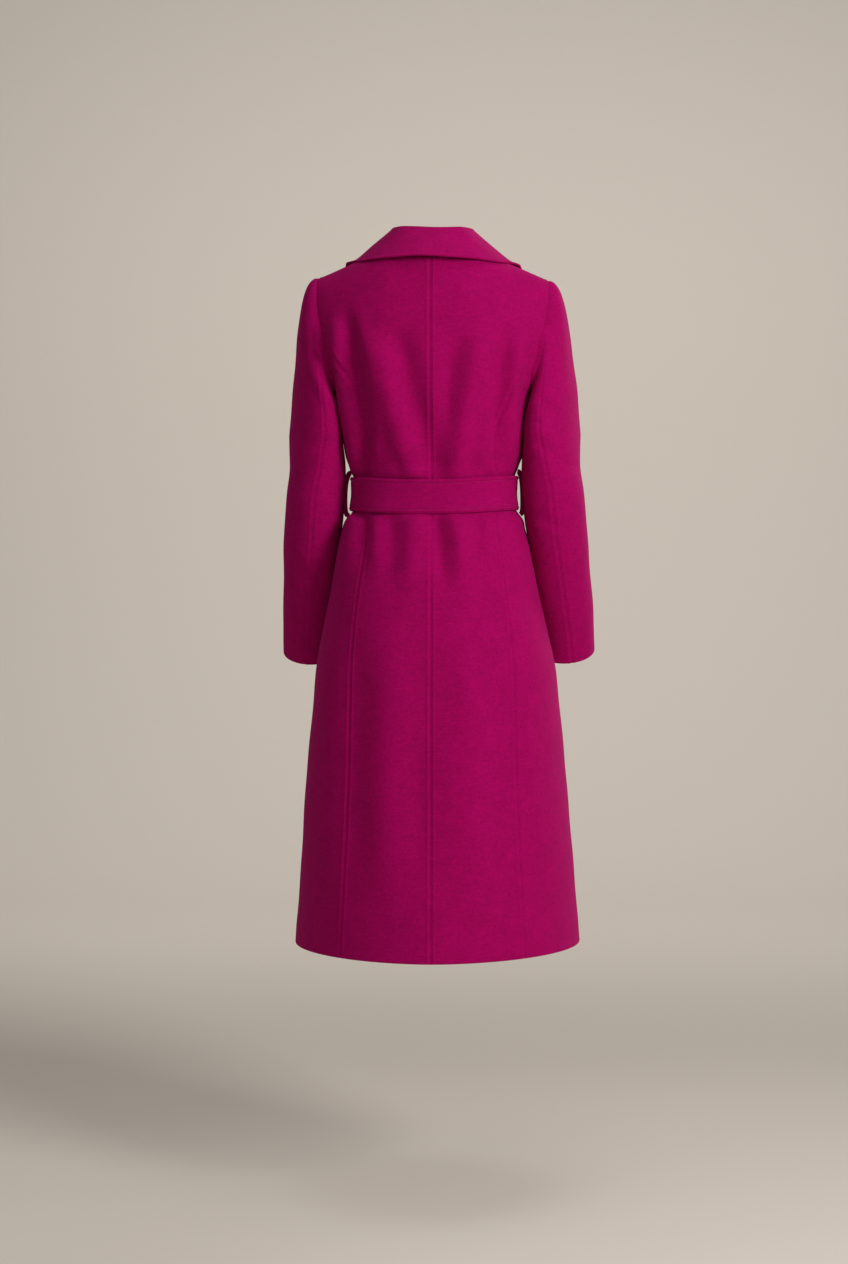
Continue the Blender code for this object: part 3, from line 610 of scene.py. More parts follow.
# %% Fold tables
BACK_FOLDS = mm(
    # start x, z, middle x, z, end x, z, depth, width, fade
    # under the belt, from the left side to the right
    (130, -415, 136, -470, 154, -540, -5, 12, 0.02),
    (109, -415, 109, -470, 120, -555, 2, 9, 0.02),
    (81, -415, 88, -470, 80, -565, -2, 11, 0.02),
    (82, -415, 60, -470, 70, -570, 1.5, 13, 0.02),
    (30, -415, 28, -480, 46, -580, -5, 18, 0.02),
    (-8, -415, -10, -470, -30, -590, 3, 12, 0.02),
    (-24, -415, -45, -470, -52, -600, -6.5, 15, 0.02),
    (-67, -415, -77, -445, -62, -500, 3, 12, 0.02),
    (-97, -415, -104, -440, -111, -480, 2.5, 11, 0.02),
    # over the belt, from the left side to the right
    (152, -110, 142, -240, 121, -380, -5.8, 11, 0.2),
    (144, -95, 111, -250, 106, -470, 6.8, 12, 0.2),
    (104, -130, 60, -260, 3, -470, -7.6, 24, 0.25),
    (111, -290, 110, -335, 112, -395, 4.8, 9, 0.3),
    (48, -130, 27, -260, -38, -470, 5.5, 19, 0.25),
    (-45, -130, -28, -220, -26, -320, 2.6, 12, 0.3),
    (-85, -140, -57, -260, -22, -470, -7.2, 16, 0.25),
    (-128, -120, -107, -245, -105, -420, 5.6, 11, 0.3),
    (-144, -130, -128, -245, -121, -410, -5, 10, 0.3),
    (46, -332, 51, -352, 36, -380, 1.2, 9, 0.4),
    (-80, -322, -64, -345, -70, -380, 2, 12, 0.4),
    # down the skirt
    (64, -560, 70, -780, 76, -1130, -3, 30, 0.3),
    (-50, -600, -56, -820, -64, -1130, -3.2, 32, 0.3),
    (114, -620, 118, -840, 124, -1130, 2.8, 24, 0.3),
    (-100, -640, -106, -860, -114, -1130, 2.6, 24, 0.3),
    (16, -700, 20, -900, 22, -1130, 2.2, 26, 0.35),
    others=1,
)
FRONT_FOLDS = mm(
    (-95, -418, -99, -460, -102, -530, 2.6, 8, 0.02),
    (-56, -420, -52, -470, -54, -560, 3, 8.5, 0.02),
    (76, -420, 78, -465, 84, -560, 3.2, 9, 0.02),
    (108, -420, 112, -455, 118, -500, 1.8, 7.5, 0.02),
    (-76, -420, -77, -465, -80, -550, -2, 9, 0.02),
    (94, -420, 96, -465, 101, -540, -2.2, 9, 0.02),
    (-104, -250, -93, -310, -86, -374, 3, 9.5, 0.35),
    (104, -235, 95, -305, 90, -374, 3.4, 10, 0.35),
    (-62, -335, -60, -352, -58, -374, 2.2, 7.5, 0.4),
    (70, -335, 68, -352, 66, -374, 2.2, 7.5, 0.4),
    (-130, -150, -126, -195, -120, -245, 1.8, 9, 0.35),
    (130, -150, 126, -195, 120, -245, 1.8, 9, 0.35),
    (-90, -600, -100, -820, -112, -1130, -2.6, 32, 0.3),
    (100, -600, 108, -820, 118, -1130, -2.6, 32, 0.3),
    (-150, -640, -156, -840, -164, -1130, 2.2, 24, 0.3),
    (150, -640, 156, -840, 164, -1130, 2.2, 24, 0.3),
    others=1,
)
FOLD_SAMPLES, FOLD_DEPTH, FADE_OUT = 24, 1.2, 0.45
FOLD_REACH = 4          # widths beside its curve beyond which a fold isn't felt
SHOULDER_RISE, SHOULDER_AT, SHOULDER_WIDTH = 0.25, 1.9, 0.9     # of the rise beside a trough


def fold_heights(places, folds):
    """Height that a table of folds gives to places (x, z)."""
    flat = places.reshape(-1, 2)
    height = np.zeros(len(flat))
    s = np.linspace(0, 1, FOLD_SAMPLES + 1)[:, None]
    for *curve, depth, width, fade in folds:
        start, middle, end = np.reshape(curve, (3, 2))
        pull = 2 * middle - (start + end) / 2
        line = (1 - s) ** 2 * start + 2 * s * (1 - s) * pull + s * s * end
        low = line.min(axis=0) - FOLD_REACH * width
        high = line.max(axis=0) + FOLD_REACH * width
        near = np.flatnonzero(((flat > low) & (flat < high)).all(axis=1))
        if len(near) == 0:
            continue
        away = flat[near, None, :] - line[None]
        at = np.argmin((away ** 2).sum(axis=2), axis=1)
        tangent = unit(np.gradient(line, axis=0))[at]
        off = away[np.arange(len(near)), at]
        sideways = off[:, 0] * tangent[:, 1] - off[:, 1] * tangent[:, 0]
        forward = (off * tangent).sum(axis=1) / np.linalg.norm(end - start)
        run = s[at, 0] + forward
        strength = ease(run / fade) * ease((1 - run) / FADE_OUT)
        u = sideways / width
        shape = hump(u, 1) - SHOULDER_RISE * hump(np.abs(u) - SHOULDER_AT, SHOULDER_WIDTH)
        height[near] -= FOLD_DEPTH * depth * strength * shape
    return height.reshape(places.shape[:-1])


BELT_TOP_Z, BELT_BOTTOM_Z, BELT_DIP = -0.3675, -0.4220, 0.0075


def belt_press(x, z):
    """(height, held): the cloth swells within about 2 cm over the belt and under it, and is
    held flat behind it."""
    dip = BELT_DIP * (1 - np.minimum(np.abs(x) / 0.13, 1) ** 2)
    above, below = z - (BELT_TOP_Z - dip), (BELT_BOTTOM_Z - dip) - z
    swell = 0.0022 + 0.0008 * np.sin(47 * x + 0.6) + 0.0006 * np.sin(113 * x)
    held = ease((0.007 - above) / 0.012) * ease((0.016 - below) / 0.020)
    return (swell * hump(above - 0.011, 0.009) + 0.6 * swell * hump(below - 0.012, 0.010)
            - 0.0009 * held, held)


def relief(points, front):
    """Folds and the small unevenness of worn cloth, for one side of the body. Both fade out
    towards the hem, the side seams and the shoulder, so that the sheets still meet there."""
    x, z = points[..., 0], points[..., 2]
    heights = fold_heights(points[..., [0, 2]], FRONT_FOLDS if front else BACK_FOLDS)
    uneven = waves(x, z, (0.00045, 29, 11, 0.4), (0.0004, 52, -23, 1.9), (0.0003, 17, 61, 2.6))
    calm = ease(np.minimum(-z, z + 1.14) / 0.06)
    side_x = np.minimum(lookup(BODY, z)[..., 0], np.where(
        z > ARMHOLE[0][0], lookup(ARMHOLE, z)[..., 0], 1.0))
    calm_side = ease((side_x - np.abs(x)) / 0.012)
    press, held = belt_press(x, z)
    return heights * ease(-z / 0.08) * (1 - 0.9 * held) * calm_side + press + uneven * calm


print(len(BACK_FOLDS), "folds behind and", len(FRONT_FOLDS), "in front")

# %% [markdown]
# ## From points to cloth
#
# Every sheet is made the same way: a flat grid from bmesh, the cut, whose vertices are then
# laid on the form. Its edges across the bottom are turned up inside as a hem, in a half
# circle, so the edge is round and two layers thick as a real hem is. A Solidify modifier
# gives the wool its thickness inwards, and a small Bevel rounds the raw edges.

# %% Sheets of cloth
CLOTH = 0.0018          # one layer of the wool
HEM_RADIUS = 0.0019     # of the fold at the bottom edge
HEM_ROWS, HEM_STEPS = 8, 8      # rows that the hem goes up inside, and steps of its fold
SHOULDER_TILT, TILT_FROM, TILT_TO = 0.024, -0.300, -0.060
HIPS_IN = (0.0025, 0.0060)      # how far the hips hang in from the solid, left and right
HIPS_X, HIPS_FROM, HIPS_TO = 0.17, -0.425, -0.70
X_AXIS, Z_AXIS = np.array([1.0, 0, 0]), np.array([0, 0, 1.0])
AREAS = {}


def hemmed(points, normals):
    """Adds a turned-up hem below the first row of a grid."""
    down = unit(points[0] - points[1])
    centre = points[0] - HEM_RADIUS * normals[0]
    arc = [centre + HEM_RADIUS * (math.cos(a) * normals[0] + math.sin(a) * down)
           for a in np.linspace(math.pi, 0, HEM_STEPS)[:-1]]
    inside = [points[k] - 2 * HEM_RADIUS * normals[k] for k in range(HEM_ROWS, 0, -1)]
    return np.concatenate([np.array(inside), np.array(arc), points])


def mirrored(points, really=True):
    return points * (-1, 1, 1) if really else points


def tilted(points):
    """The points raised towards the higher shoulder."""
    share = ease((points[..., 2] - TILT_FROM) / (TILT_TO - TILT_FROM))
    return points + (SHOULDER_TILT * points[..., 0] * share)[..., None] * Z_AXIS


def narrowed(points):
    """The points moved in at the hips."""
    x, z = points[..., 0], points[..., 2]
    inward = np.where(x > 0, -HIPS_IN[0], HIPS_IN[1]) * np.clip(np.abs(x) / HIPS_X, 0, 1) ** 2
    inward = inward * ease((HIPS_FROM - z) / 0.03) * ease((z - HIPS_TO) / 0.14)
    return points + inward[..., None] * X_AXIS


def lay(name, points, outward, slot, finish, thick=CLOTH, bevel=0.0006, steps=2, sew=False,
        hips=False):
    """A grid of cloth laid on points, rows by columns, its middle facing outward."""
    points = tilted(points)
    if hips:
        points = narrowed(points)
    rows, across = points.shape[:2]
    mesh = bmesh.new()
    bmesh.ops.create_grid(mesh, x_segments=across - 1, y_segments=rows - 1, size=0.5)
    flat = np.array([v.co[:2] for v in mesh.verts]) + 0.5
    i = np.rint(flat[:, 1] * (rows - 1)).astype(int)
    j = np.rint(flat[:, 0] * (across - 1)).astype(int)
    for vert, co in zip(mesh.verts, points[i, j]):
        vert.co = co
    if sew:
        bmesh.ops.remove_doubles(mesh, verts=mesh.verts, dist=1e-6)
    mesh.normal_update()
    centre = Vector(points[rows // 2, across // 2])
    nearest = min(mesh.faces, key=lambda f: (f.calc_center_median() - centre).length)
    if nearest.normal.dot(Vector(outward(centre))) < 0:
        bmesh.ops.reverse_faces(mesh, faces=mesh.faces)
    AREAS[name] = sum(f.calc_area() for f in mesh.faces)
    piece = as_object(name, mesh, finish)
    if thick:
        wall = piece.modifiers.new("thickness", "SOLIDIFY")
        wall.thickness, wall.offset, wall.use_rim = thick, -1, True
        wall.use_quality_normals = True
    if bevel:
        edge = piece.modifiers.new("edges", "BEVEL")
        edge.width, edge.segments, edge.profile = bevel, steps, 0.5
        edge.limit_method, edge.angle_limit = "ANGLE", math.radians(50)
    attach(piece, "root")
    return piece


def away_from_axis(p):
    return (p[0], p[1], 0)


def forwards(p):
    return (0, -1, 0)


def panel(part, word, points):
    """A panel of the body, given as if it lay on the left."""
    name = part + "_" + word
    lay("wool_" + name, mirrored(points, word == "right"), away_from_axis,
                       "melton", MELTON, hips=True)


print("cloth", CLOTH * 1000, "mm, hem", HEM_RADIUS * 2000, "mm over its fold")

# %% [markdown]
# ## Back panels
#
# The back has four panels. Two centre panels meet at the centre back seam, and the princess
# seams join a side panel to each. Both panels of a half run on the same rows and end on the
# same seam line, so that they meet. Where the seam comes out at the armhole the side panel
# ends in a tip, and the centre panel goes on alone to the shoulder.

# %% Back panels
ARMHOLE_SEAM = 0.35     # how strong the seam lines at the arm are beside the others
TIP_GAP = 0.10          # how much of the last row the side panel's tip leaves open
CENTRE_COLUMNS, SIDE_COLUMNS, FRONT_COLUMNS = 26, 15, 56
SIDES = ((1, "left"), (-1, "right"))


def back_half(side):
    """(points of the centre panel, points of the side panel) of one half of the back, left
    with side 1 and right with side -1. Both are given as if they lay on the left."""
    low = fine_rows(-LOW, PRINCESS_ROW, BACK_STEP)
    high = fine_rows(PRINCESS_ROW, TOP, BACK_STEP)
    seam_t = princess_t(low)
    seam_t[-1] = 1.0
    centre_t, from_centre, to_seam = columns(low, 0, seam_t, False, CENTRE_COLUMNS)
    tip, tip_t = low.copy(), seam_t.copy()
    tip[-1] -= TIP_GAP * (low[-1] - low[-2])
    tip_t[-1] -= TIP_GAP * (1 - seam_t[-2])
    side_t, from_seam, to_side = columns(tip, np.minimum(tip_t, SEAM_END), 1, False,
                                         SIDE_COLUMNS)
    top_t, top_centre, top_side = columns(high, 0, 1, False, CENTRE_COLUMNS)

    def dress(numbers, t, heights):
        points, normals = torso(False, numbers, t)
        there = points * (side, 1, 1)
        return points + (relief(there, False) + heights)[..., None] * normals, normals

    faint = ARMHOLE_SEAM + (1 - ARMHOLE_SEAM) * ease((PRINCESS_ROW - low) / 3)[:, None]
    centre, centre_normals = dress(low, centre_t, seam(from_centre) + faint * seam(to_seam))
    upper, _ = dress(high, top_t, seam(top_centre) + ARMHOLE_SEAM * seam(top_side))
    whole = np.concatenate([hemmed(centre, centre_normals), upper[1:]])
    beside, beside_normals = dress(tip, side_t, faint * seam(from_seam)
                                   + ARMHOLE_SEAM * seam(to_side))
    return whole, hemmed(beside, beside_normals)


for side, word in SIDES:
    centre, beside = back_half(side)
    panel("back_centre", word, centre)
    panel("back_side", word, beside)
print({k: round(v, 3) for k, v in AREAS.items()})

# %% [markdown]
# ## Fronts
#
# The right front laps over the left one, so it stands off the body by the thickness of what
# it covers. Both run from the shoulder seam to the hem, and their inner edge leaves the waist
# and goes up to the neck, where the collar is sewn on.

# %% Fronts
def front_half(side):
    """Points of a front, as if it lay on the left. What the left one has under the right one
    stays flat."""
    numbers = fine_rows(-LOW, TOP, FRONT_STEP)
    t, _, to_side = columns(numbers, 0, 1, True, FRONT_COLUMNS)
    points, normals = torso(True, numbers, t, lifted=side < 0)
    heights = relief(mirrored(points, side < 0), True)
    if side > 0:
        x = points[..., 0]
        show = ease((0.14 - to_side) / 0.10) + ease((0.09 + x) / 0.02)
        heights = heights * np.clip(show, 0, 1) + seam(to_side)
        heights = np.minimum(heights, 0.0012 + 0.003 * ease((x - 0.075) / 0.02))
    else:
        heights = heights + seam(to_side)
    return hemmed(points + heights[..., None] * normals, normals)


for side, word in SIDES:
    panel("front", word, front_half(side))
print("front", round(AREAS["wool_front_left"], 3), "m2")

# %% [markdown]
# ## Sleeves
#
# A coat sleeve has two pieces, so that it can bend with the arm: a wide top sleeve and a
# narrow under sleeve, joined behind and in front of the arm. Rings run from the armhole,
# over the sleeve's head and down to the cuff. The head leaves the armhole outwards first and
# then turns down, which gives the soft roll at the shoulder.

# %% Sleeve rings
TUCK = 0.0012           # how far the sleeve goes in under the edge of the armhole
ARM = mm(
    # z, centre_x, centre_y, half_width, half_depth, tip_degrees, twist_degrees, and how far
    # its back leans in to the body for each metre
    (-300, 191, 2, 40.5, 66, 0, 0, 0.34),
    (-345, 189.5, -1, 45.2, 61, 2, 0, 0.21),
    (-390, 193.5, -3, 46.3, 57, 6, -2, 0.14),
    (-430, 197.5, -9, 46.3, 54, 10, -4, 0.17),
    (-470, 201.8, -21, 45.2, 52, 14, -6, 0.2),
    (-510, 205.5, -38, 44.5, 50, 18, -8, 0.2),
    (-555, 209, -61, 44.6, 48.8, 21, -10, 0.18),
    (-605, 212.2, -88, 45.3, 47.8, 23, -12, 0.14),
    (-654, 213.5, -115, 46, 47.4, 24, -14, 0.1),
    others=3,
)
HOLE_STEPS = 141        # points along each half of the armhole
CAP = (
    # x and z of the way the sleeve leaves the armhole, and of the way it comes to the arm
    (0.0365, 0.0008, -0.010, 0.130),    # at the top of the shoulder
    (0.0200, -0.0060, 0, 0.075),        # behind and in front
    (0.0100, 0.0020, 0, 0.030),         # under the arm
)
CAP_SHARES = (0, 0.004, 0.010, 0.020, 0.034, 0.052, 0.075)
CAP_RINGS, ARM_RINGS = 44, 76
BACK_SEAM_ROW, FRONT_SEAM_ROW = 9, 6


def armhole():
    """The armhole as a fine ring: angle round the arm, point, and the way out of the body."""
    steps = np.linspace(TOP, UNDERARM_ROW, HOLE_STEPS)
    turn = HOLE_STEPS - 1

    def ring_at(t):
        t = np.full(HOLE_STEPS, t)
        return np.concatenate([on_body(steps, t, False), on_body(steps[::-1], t, True)[1:]])

    ring = ring_at(1.0)
    out = unit(ring - ring_at(0.97))
    out[turn] = Z_AXIS
    out[0] = out[-1] = unit(np.array([TIP_X - NECK_X, TIP_Y, TIP_Z]))
    back, fore = run_along(ring[:turn + 1]), run_along(ring[turn:])
    angles = [back / back[-1] * math.pi, math.pi + fore[1:] / fore[-1] * math.pi]
    return np.concatenate(angles), ring, out, steps


def arm_ring(z, angles):
    x, y, width, depth, tip, twist, lean = np.moveaxis(lookup(ARM, z), -1, 0)
    turned, tip = angles + np.radians(twist), np.radians(tip)
    along = depth * np.sin(turned)
    return np.stack([x + width * np.cos(turned) - lean * along, y + along * np.cos(tip),
                     z - along * np.sin(tip)], axis=-1)


def sleeve_grid(angles):
    """Points of a sleeve at angles round the arm, a row for each ring from the armhole."""
    ring_angles, ring, out, _ = armhole()
    turn = angles % (2 * math.pi)
    start = between(turn, ring_angles, ring) - TUCK * unit(between(turn, ring_angles, out))
    end = arm_ring(np.full(len(turn), BUST_Z), turn)
    top = np.maximum(np.cos(turn), 0)[:, None] ** 2
    under = np.maximum(-np.cos(turn), 0)[:, None] ** 2
    side = np.sin(turn)[:, None] ** 2

    def mix(a, b, c):
        return top * np.array(a) + side * np.array(b) + under * np.array(c)

    leave = mix(*[(x, 0, z) for x, z, _, _ in CAP])
    arrive = mix(*[(x, 0, z) for _, _, x, z in CAP])
    shares = np.concatenate([CAP_SHARES, np.linspace(0.10, 1, CAP_RINGS)])
    rings = [(1 - u) ** 3 * start + 3 * (1 - u) ** 2 * u * (start + leave)
             + 3 * (1 - u) * u * u * (end + arrive) + u ** 3 * end for u in shares]
    levels = np.linspace(BUST_Z, ARM[-1][0], ARM_RINGS)[1:]
    rings += [arm_ring(np.full(len(turn), z), turn) for z in levels]
    return np.array(rings)


def seam_angles():
    """The angles round the arm of the back seam and the front seam."""
    ring_angles, _, _, steps = armhole()
    back = np.interp(-BACK_SEAM_ROW, -steps, ring_angles[:HOLE_STEPS])
    fore = np.interp(FRONT_SEAM_ROW, steps[::-1], ring_angles[HOLE_STEPS - 1:])
    return float(back), float(fore)


print("seams at", [round(math.degrees(a)) for a in seam_angles()], "degrees round the arm")

# %% Sleeves with folds
ARM_IN = {1: 0.0020, -1: 0.0055}    # how much nearer to the body each inner side hangs
ELBOW_Z, RING_SAMPLES = -0.35, 200
LEFT_SLEEVE_BACK = mm(
    (189, -75, 180, -130, 169, -195, -1.6, 8, 0.3),
    (199, -168, 185, -180, 166, -192, 2.2, 7, 0.35),
    (198.5, -186, 178, -226, 154, -274, -2.2, 8, 0.3),
    (236, -312, 223, -298, 208, -284, 2.2, 7.5, 0.3),
    (235, -335, 218, -330, 198, -345, -1.4, 9, 0.3),
    (160, -300, 175, -318, 195, -322, 1.8, 8, 0.3),
    (172, -420, 190, -440, 212, -438, 1.4, 9, 0.3),
    (232, -500, 220, -520, 210, -560, 1.2, 11, 0.3),
    others=1,
)
RIGHT_SLEEVE_BACK = mm(
    (-188, -80, -179, -135, -170, -200, -1.2, 8, 0.3),
    (-170, -230, -182, -262, -200, -280, 1.8, 8.5, 0.3),
    (-162, -305, -180, -325, -202, -330, 1.8, 8.5, 0.3),
    (-175, -430, -192, -446, -215, -440, 1.4, 9, 0.3),
    (-236, -360, -220, -352, -205, -360, 1.2, 9, 0.3),
    others=1,
)
SLEEVE_FRONT = mm(
    (228, -335, 205, -350, 172, -345, 3.2, 7.5, 0.25),
    (230, -365, 205, -382, 174, -380, 3.8, 8, 0.25),
    (232, -400, 208, -412, 180, -404, 2.8, 7.5, 0.25),
    (195, -110, 178, -160, 164, -215, 2, 8.5, 0.3),
    (225, -470, 208, -500, 198, -540, 1.4, 11, 0.3),
    others=1,
)


def sleeve_relief(points, normals, side):
    """Folds on the back and the front of a sleeve, fading where it turns away."""
    places = points[..., [0, 2]] * (side, 1)
    behind = LEFT_SLEEVE_BACK if side > 0 else RIGHT_SLEEVE_BACK
    before = SLEEVE_FRONT.copy()
    before[:, [0, 2, 4]] *= side
    x, z = points[..., 0], points[..., 2]
    uneven = waves(x, z, (0.0005, 21, 37, side), (0.0004, -33, 71, 0))
    return (fold_heights(places, behind) * ease(normals[..., 1] / 0.5)
            + fold_heights(places, before) * ease(-normals[..., 1] / 0.5)
            + uneven * ease((-0.10 - z) / 0.06))


def sleeve_piece(name, start, end, count, side):
    """The part of a sleeve between two seams."""
    coarse = np.linspace(start, end, RING_SAMPLES)
    run = run_along(arm_ring(np.full(RING_SAMPLES, ELBOW_Z), coarse))
    at = crowded(run[-1], count)
    points = sleeve_grid(np.interp(at, run, coarse))
    middle = sleeve_grid(np.linspace(0, 2 * math.pi, 24, endpoint=False)).mean(axis=1)
    normals = facing(points, points - middle[:, None])
    down = run_along(np.swapaxes(points, 0, 1)).mean(axis=0)
    sewn = (seam(at) + seam(run[-1] - at))[None] * (0.15 + 0.45 * ease(down / 0.12))[:, None]
    heights = (sleeve_relief(points, normals, side) * ease(down / 0.03)[:, None]
               + sewn + ARMHOLE_SEAM * seam(down)[:, None])
    points = points + heights[..., None] * normals
    x, z = points[..., 0], points[..., 2]
    inner = ease((lookup(ARM, z)[..., 0] - x) / 0.045)
    inner = inner * ease((-0.345 - z) / 0.05) * ease((z + 0.66) / 0.10)
    points = points - ARM_IN[side] * inner[..., None] * X_AXIS
    points, normals = points[::-1], normals[::-1]
    outward = normals[len(normals) // 2, len(at) // 2] * (side, 1, 1)
    return lay(name, mirrored(hemmed(points, normals), side < 0), lambda p: outward, "melton",
               MELTON)


back_seam, front_seam = seam_angles()
for side, word in SIDES:
    for part, start, end, count in (("top_sleeve_", front_seam - 2 * math.pi, back_seam, 46),
                                    ("under_sleeve_", back_seam, front_seam, 30)):
        sleeve_piece("wool_" + part + word, start, end, count, side)
print("sleeves", round(AREAS["wool_top_sleeve_left"] + AREAS["wool_under_sleeve_left"], 3),
      "m2 each")

# %% [markdown]
# ## Collar
#
# A shawl collar is one piece. At the back it stands up round the neck, rolls over and falls
# on the shoulders, and in front it goes on as the lapels down to the belt. It is worked out
# station by station round the neckline: a foot on the seam, the stand, a roll, and the fall
# to its edge. A smooth curve through the stations and another across them give the sheet.

# %% Collar stations
COLLAR_WALL, REST_GAP, SEAM_GAP = 0.0028, 0.0006, 0.0003
STAND_BACK, STAND_LEAN, ROLL_BACK, ROLL_LAPEL = 0.0280, 0.30, 0.0034, 0.0025
FOOT_BACK, FOOT_LAPEL = 0.001, 0.0015       # how far its foot goes in under the cloth
COLLAR_BACK_EDGE = mm(
    # x, y, z of its outer edge for each fifth of the back neckline
    (0, 100, -24.4),
    (35.2, 97.5, -24.9),
    (71, 83, -26.2),
    (105, 53, -27.2),
    (133.5, 4, -30),
)
COLLAR_FRONT = mm(
    # z of the front's edge, stand height, fall edge x, y, z where it is over the shoulder
    (0, 32, 133.5, 4, -30),
    (-9, 33, 138.5, -14, -36.5),
    (-20, 33, 142.5, -32, -46),
    (-34, 31, 146.5, -48, -59.2),
    (-48, 27, 150.5, -61, -75),
    (-61, 21.5, 149, -72, -91),
    (-75, 15, 146, -81, -108),
    (-92, 8, 140, -89, -127),
    (-113, 3.5, 129, -96, -151),
)
LAPEL_WIDTH = mm(
    # z of the front's edge, width of the lapel square to its roll
    (-345, 5), (-322, 33), (-300, 52), (-250, 75), (-200, 86), (-150, 90), (-100, 92),
)
LAPEL_SLOPE, BREAK_ROW = -0.48, -2


def front_place(x, z, lifted, off):
    """Places over a front, standing off its cloth."""
    step = 5e-4
    normal = np.cross(body_point(x + step, z, True) - body_point(x - step, z, True),
                      body_point(x, z + step, True) - body_point(x, z - step, True))
    normal = unit(normal * -np.sign(normal[..., 1:2]))
    points = body_point(x, z, True)
    lift = lap_lift(points) if lifted else 0 * points[..., 0]
    return points + (off + lift)[..., None] * normal


def stations(lifted):
    """For each station of half the collar: foot, normal, way into the panel, stand height,
    where its fall ends over the shoulder, and the height of the front's edge."""
    found = []
    crest = unit(np.array([TIP_X - NECK_X, 0, TIP_Z]))
    back, back_normals = torso(False, np.arange(TOP - 3.0, TOP + 1),
                               np.tile(np.linspace(0, 1, 11), (4, 1)))
    for c in range(5):
        into = crest if c == 4 else unit(back[-2, c] - back[-1, c])
        found.append((back[-1, c], back_normals[-1, c], into, STAND_BACK,
                      COLLAR_BACK_EDGE[c], 0.0))
    rows = np.arange(BREAK_ROW - 1.0, TOP + 1)
    fore, fore_normals = torso(True, rows, np.tile(np.linspace(0, 1, 15), (len(rows), 1)),
                               lifted)
    for k in range(len(rows) - 2, 0, -1):
        foot = fore[k, 0]
        height, *edge = lookup(COLLAR_FRONT, foot[2])
        if foot[2] < COLLAR_FRONT[-1][0] - 1e-6:
            height, edge = 0.0015, None
        found.append((foot, fore_normals[k, 0], unit(fore[k, 1] - foot), height, edge, foot[2]))
    return found


def resting(points, ground, ground_normals, clear):
    """Points pushed out to stand at least this far off the cloth under them."""
    out = points.copy()
    for k, p in enumerate(points):
        at = np.argmin(((ground - p) ** 2).sum(axis=1))
        out[k] = p + max(0.0, clear - (p - ground[at]) @ ground_normals[at]) * ground_normals[at]
    return out


def collar_half(lifted, falls=6):
    """Rows of points across the collar, one for each station of a half."""
    high = TOP - 0.25 * np.arange(40)[::-1]
    fan = np.tile(np.linspace(0, 1, 31), (40, 1))
    under = [torso(front, high, fan, lifted and front) for front in (False, True)]
    ground = np.concatenate([p.reshape(-1, 3) for p, _ in under])
    ground_normals = np.concatenate([n.reshape(-1, 3) for _, n in under])
    rest = REST_GAP + COLLAR_WALL / 2 + 0.0006
    steps = np.arange(1, falls + 1) / falls
    rows = []
    for base, normal, into, height, edge, z in stations(lifted):
        stand = min(1.0, height / STAND_BACK) if z > COLLAR_FRONT[-1][0] - 1e-6 else 0.0
        radial = unit(base * (1, 1, 0))
        rise = unit(stand * (Z_AXIS - STAND_LEAN * radial) - (1 - stand) * into)
        across = stand * radial + (1 - stand) * normal
        across = unit(across - (across @ rise) * rise)
        roll = stand * ROLL_BACK + (1 - stand) * ROLL_LAPEL
        turn = math.sqrt(max(0.0, 1 - (rise @ into) ** 2))
        foot = (base - (SEAM_GAP + COLLAR_WALL / 2 * turn) * into
                - ((1 - stand) * FOOT_LAPEL + stand * FOOT_BACK) * normal)
        centre = foot + height * rise + roll * across
        row = [foot, foot + height / 2 * rise]
        row += [centre + roll * (math.sin(a) * rise - math.cos(a) * across)
                for a in np.linspace(0, math.pi, 5)]
        if edge is None:
            reach = lookup(LAPEL_WIDTH, z)[0] / math.hypot(1, LAPEL_SLOPE) * steps
            row += list(front_place(base[0] + reach, base[2] + reach * LAPEL_SLOPE, lifted,
                                    np.full(falls, rest)))
        else:
            straight = row[-1] + (np.array(edge) - row[-1]) * steps[:, None]
            row += list(resting(straight, ground, ground_normals, rest))
        rows.append(row)
    return np.array(rows)


def smoother(grid, times):
    """More rows in a grid, on a smooth curve through the given ones."""
    n = len(grid)
    ends = np.concatenate([[2 * grid[0] - grid[1]], grid, [2 * grid[-1] - grid[-2]]])
    made = []
    for k in range(n - 1):
        a, b, c, d = ends[k:k + 4]
        for u in np.arange(times) / times:
            made.append(0.5 * (2 * b + (c - a) * u + (2 * a - 5 * b + 4 * c - d) * u * u
                               + (3 * b - a - 3 * c + d) * u ** 3))
    return np.array(made + [grid[-1]])


left, right_half = collar_half(False), collar_half(True)
collar_grid = np.concatenate([mirrored(right_half)[:0:-1], left])
collar_grid = smoother(collar_grid, 5)
collar_grid = np.swapaxes(smoother(np.swapaxes(collar_grid, 0, 1), 4), 0, 1)
print("collar grid", collar_grid.shape[:2])

# %% Collar cloth
def collar_relief(grid, normals):
    """The edge is pressed to a shallow roll, and the fall has slow waves."""
    run = run_along(grid)
    to_edge = run[:, -1:] - run
    slow = waves(grid[..., 0], grid[..., 2], (0.0005, 46, 9, 0.7), (0.0004, 83, -31, 0))
    groove = 0.0007 * hump(to_edge - 0.0015, 0.0028) - 0.0006 * hump(to_edge - 0.0062, 0.0016)
    return (slow * ease(run / 0.06) + groove)[..., None] * normals


collar_normals = facing(collar_grid, np.zeros(3))
if collar_normals[len(collar_grid) // 2, -1, 1] < 0:
    collar_normals = -collar_normals
outer = collar_grid + COLLAR_WALL / 2 * collar_normals
outer += collar_relief(collar_grid, collar_normals)
middle_normal = collar_normals[len(outer) // 2, outer.shape[1] // 2]
collar = lay("shawl_collar", outer, lambda p: middle_normal, "undercollar", COLLAR_WOOL,
             thick=COLLAR_WALL, bevel=0.0011, steps=3)
print("collar", round(AREAS["shawl_collar"], 3), "m2")

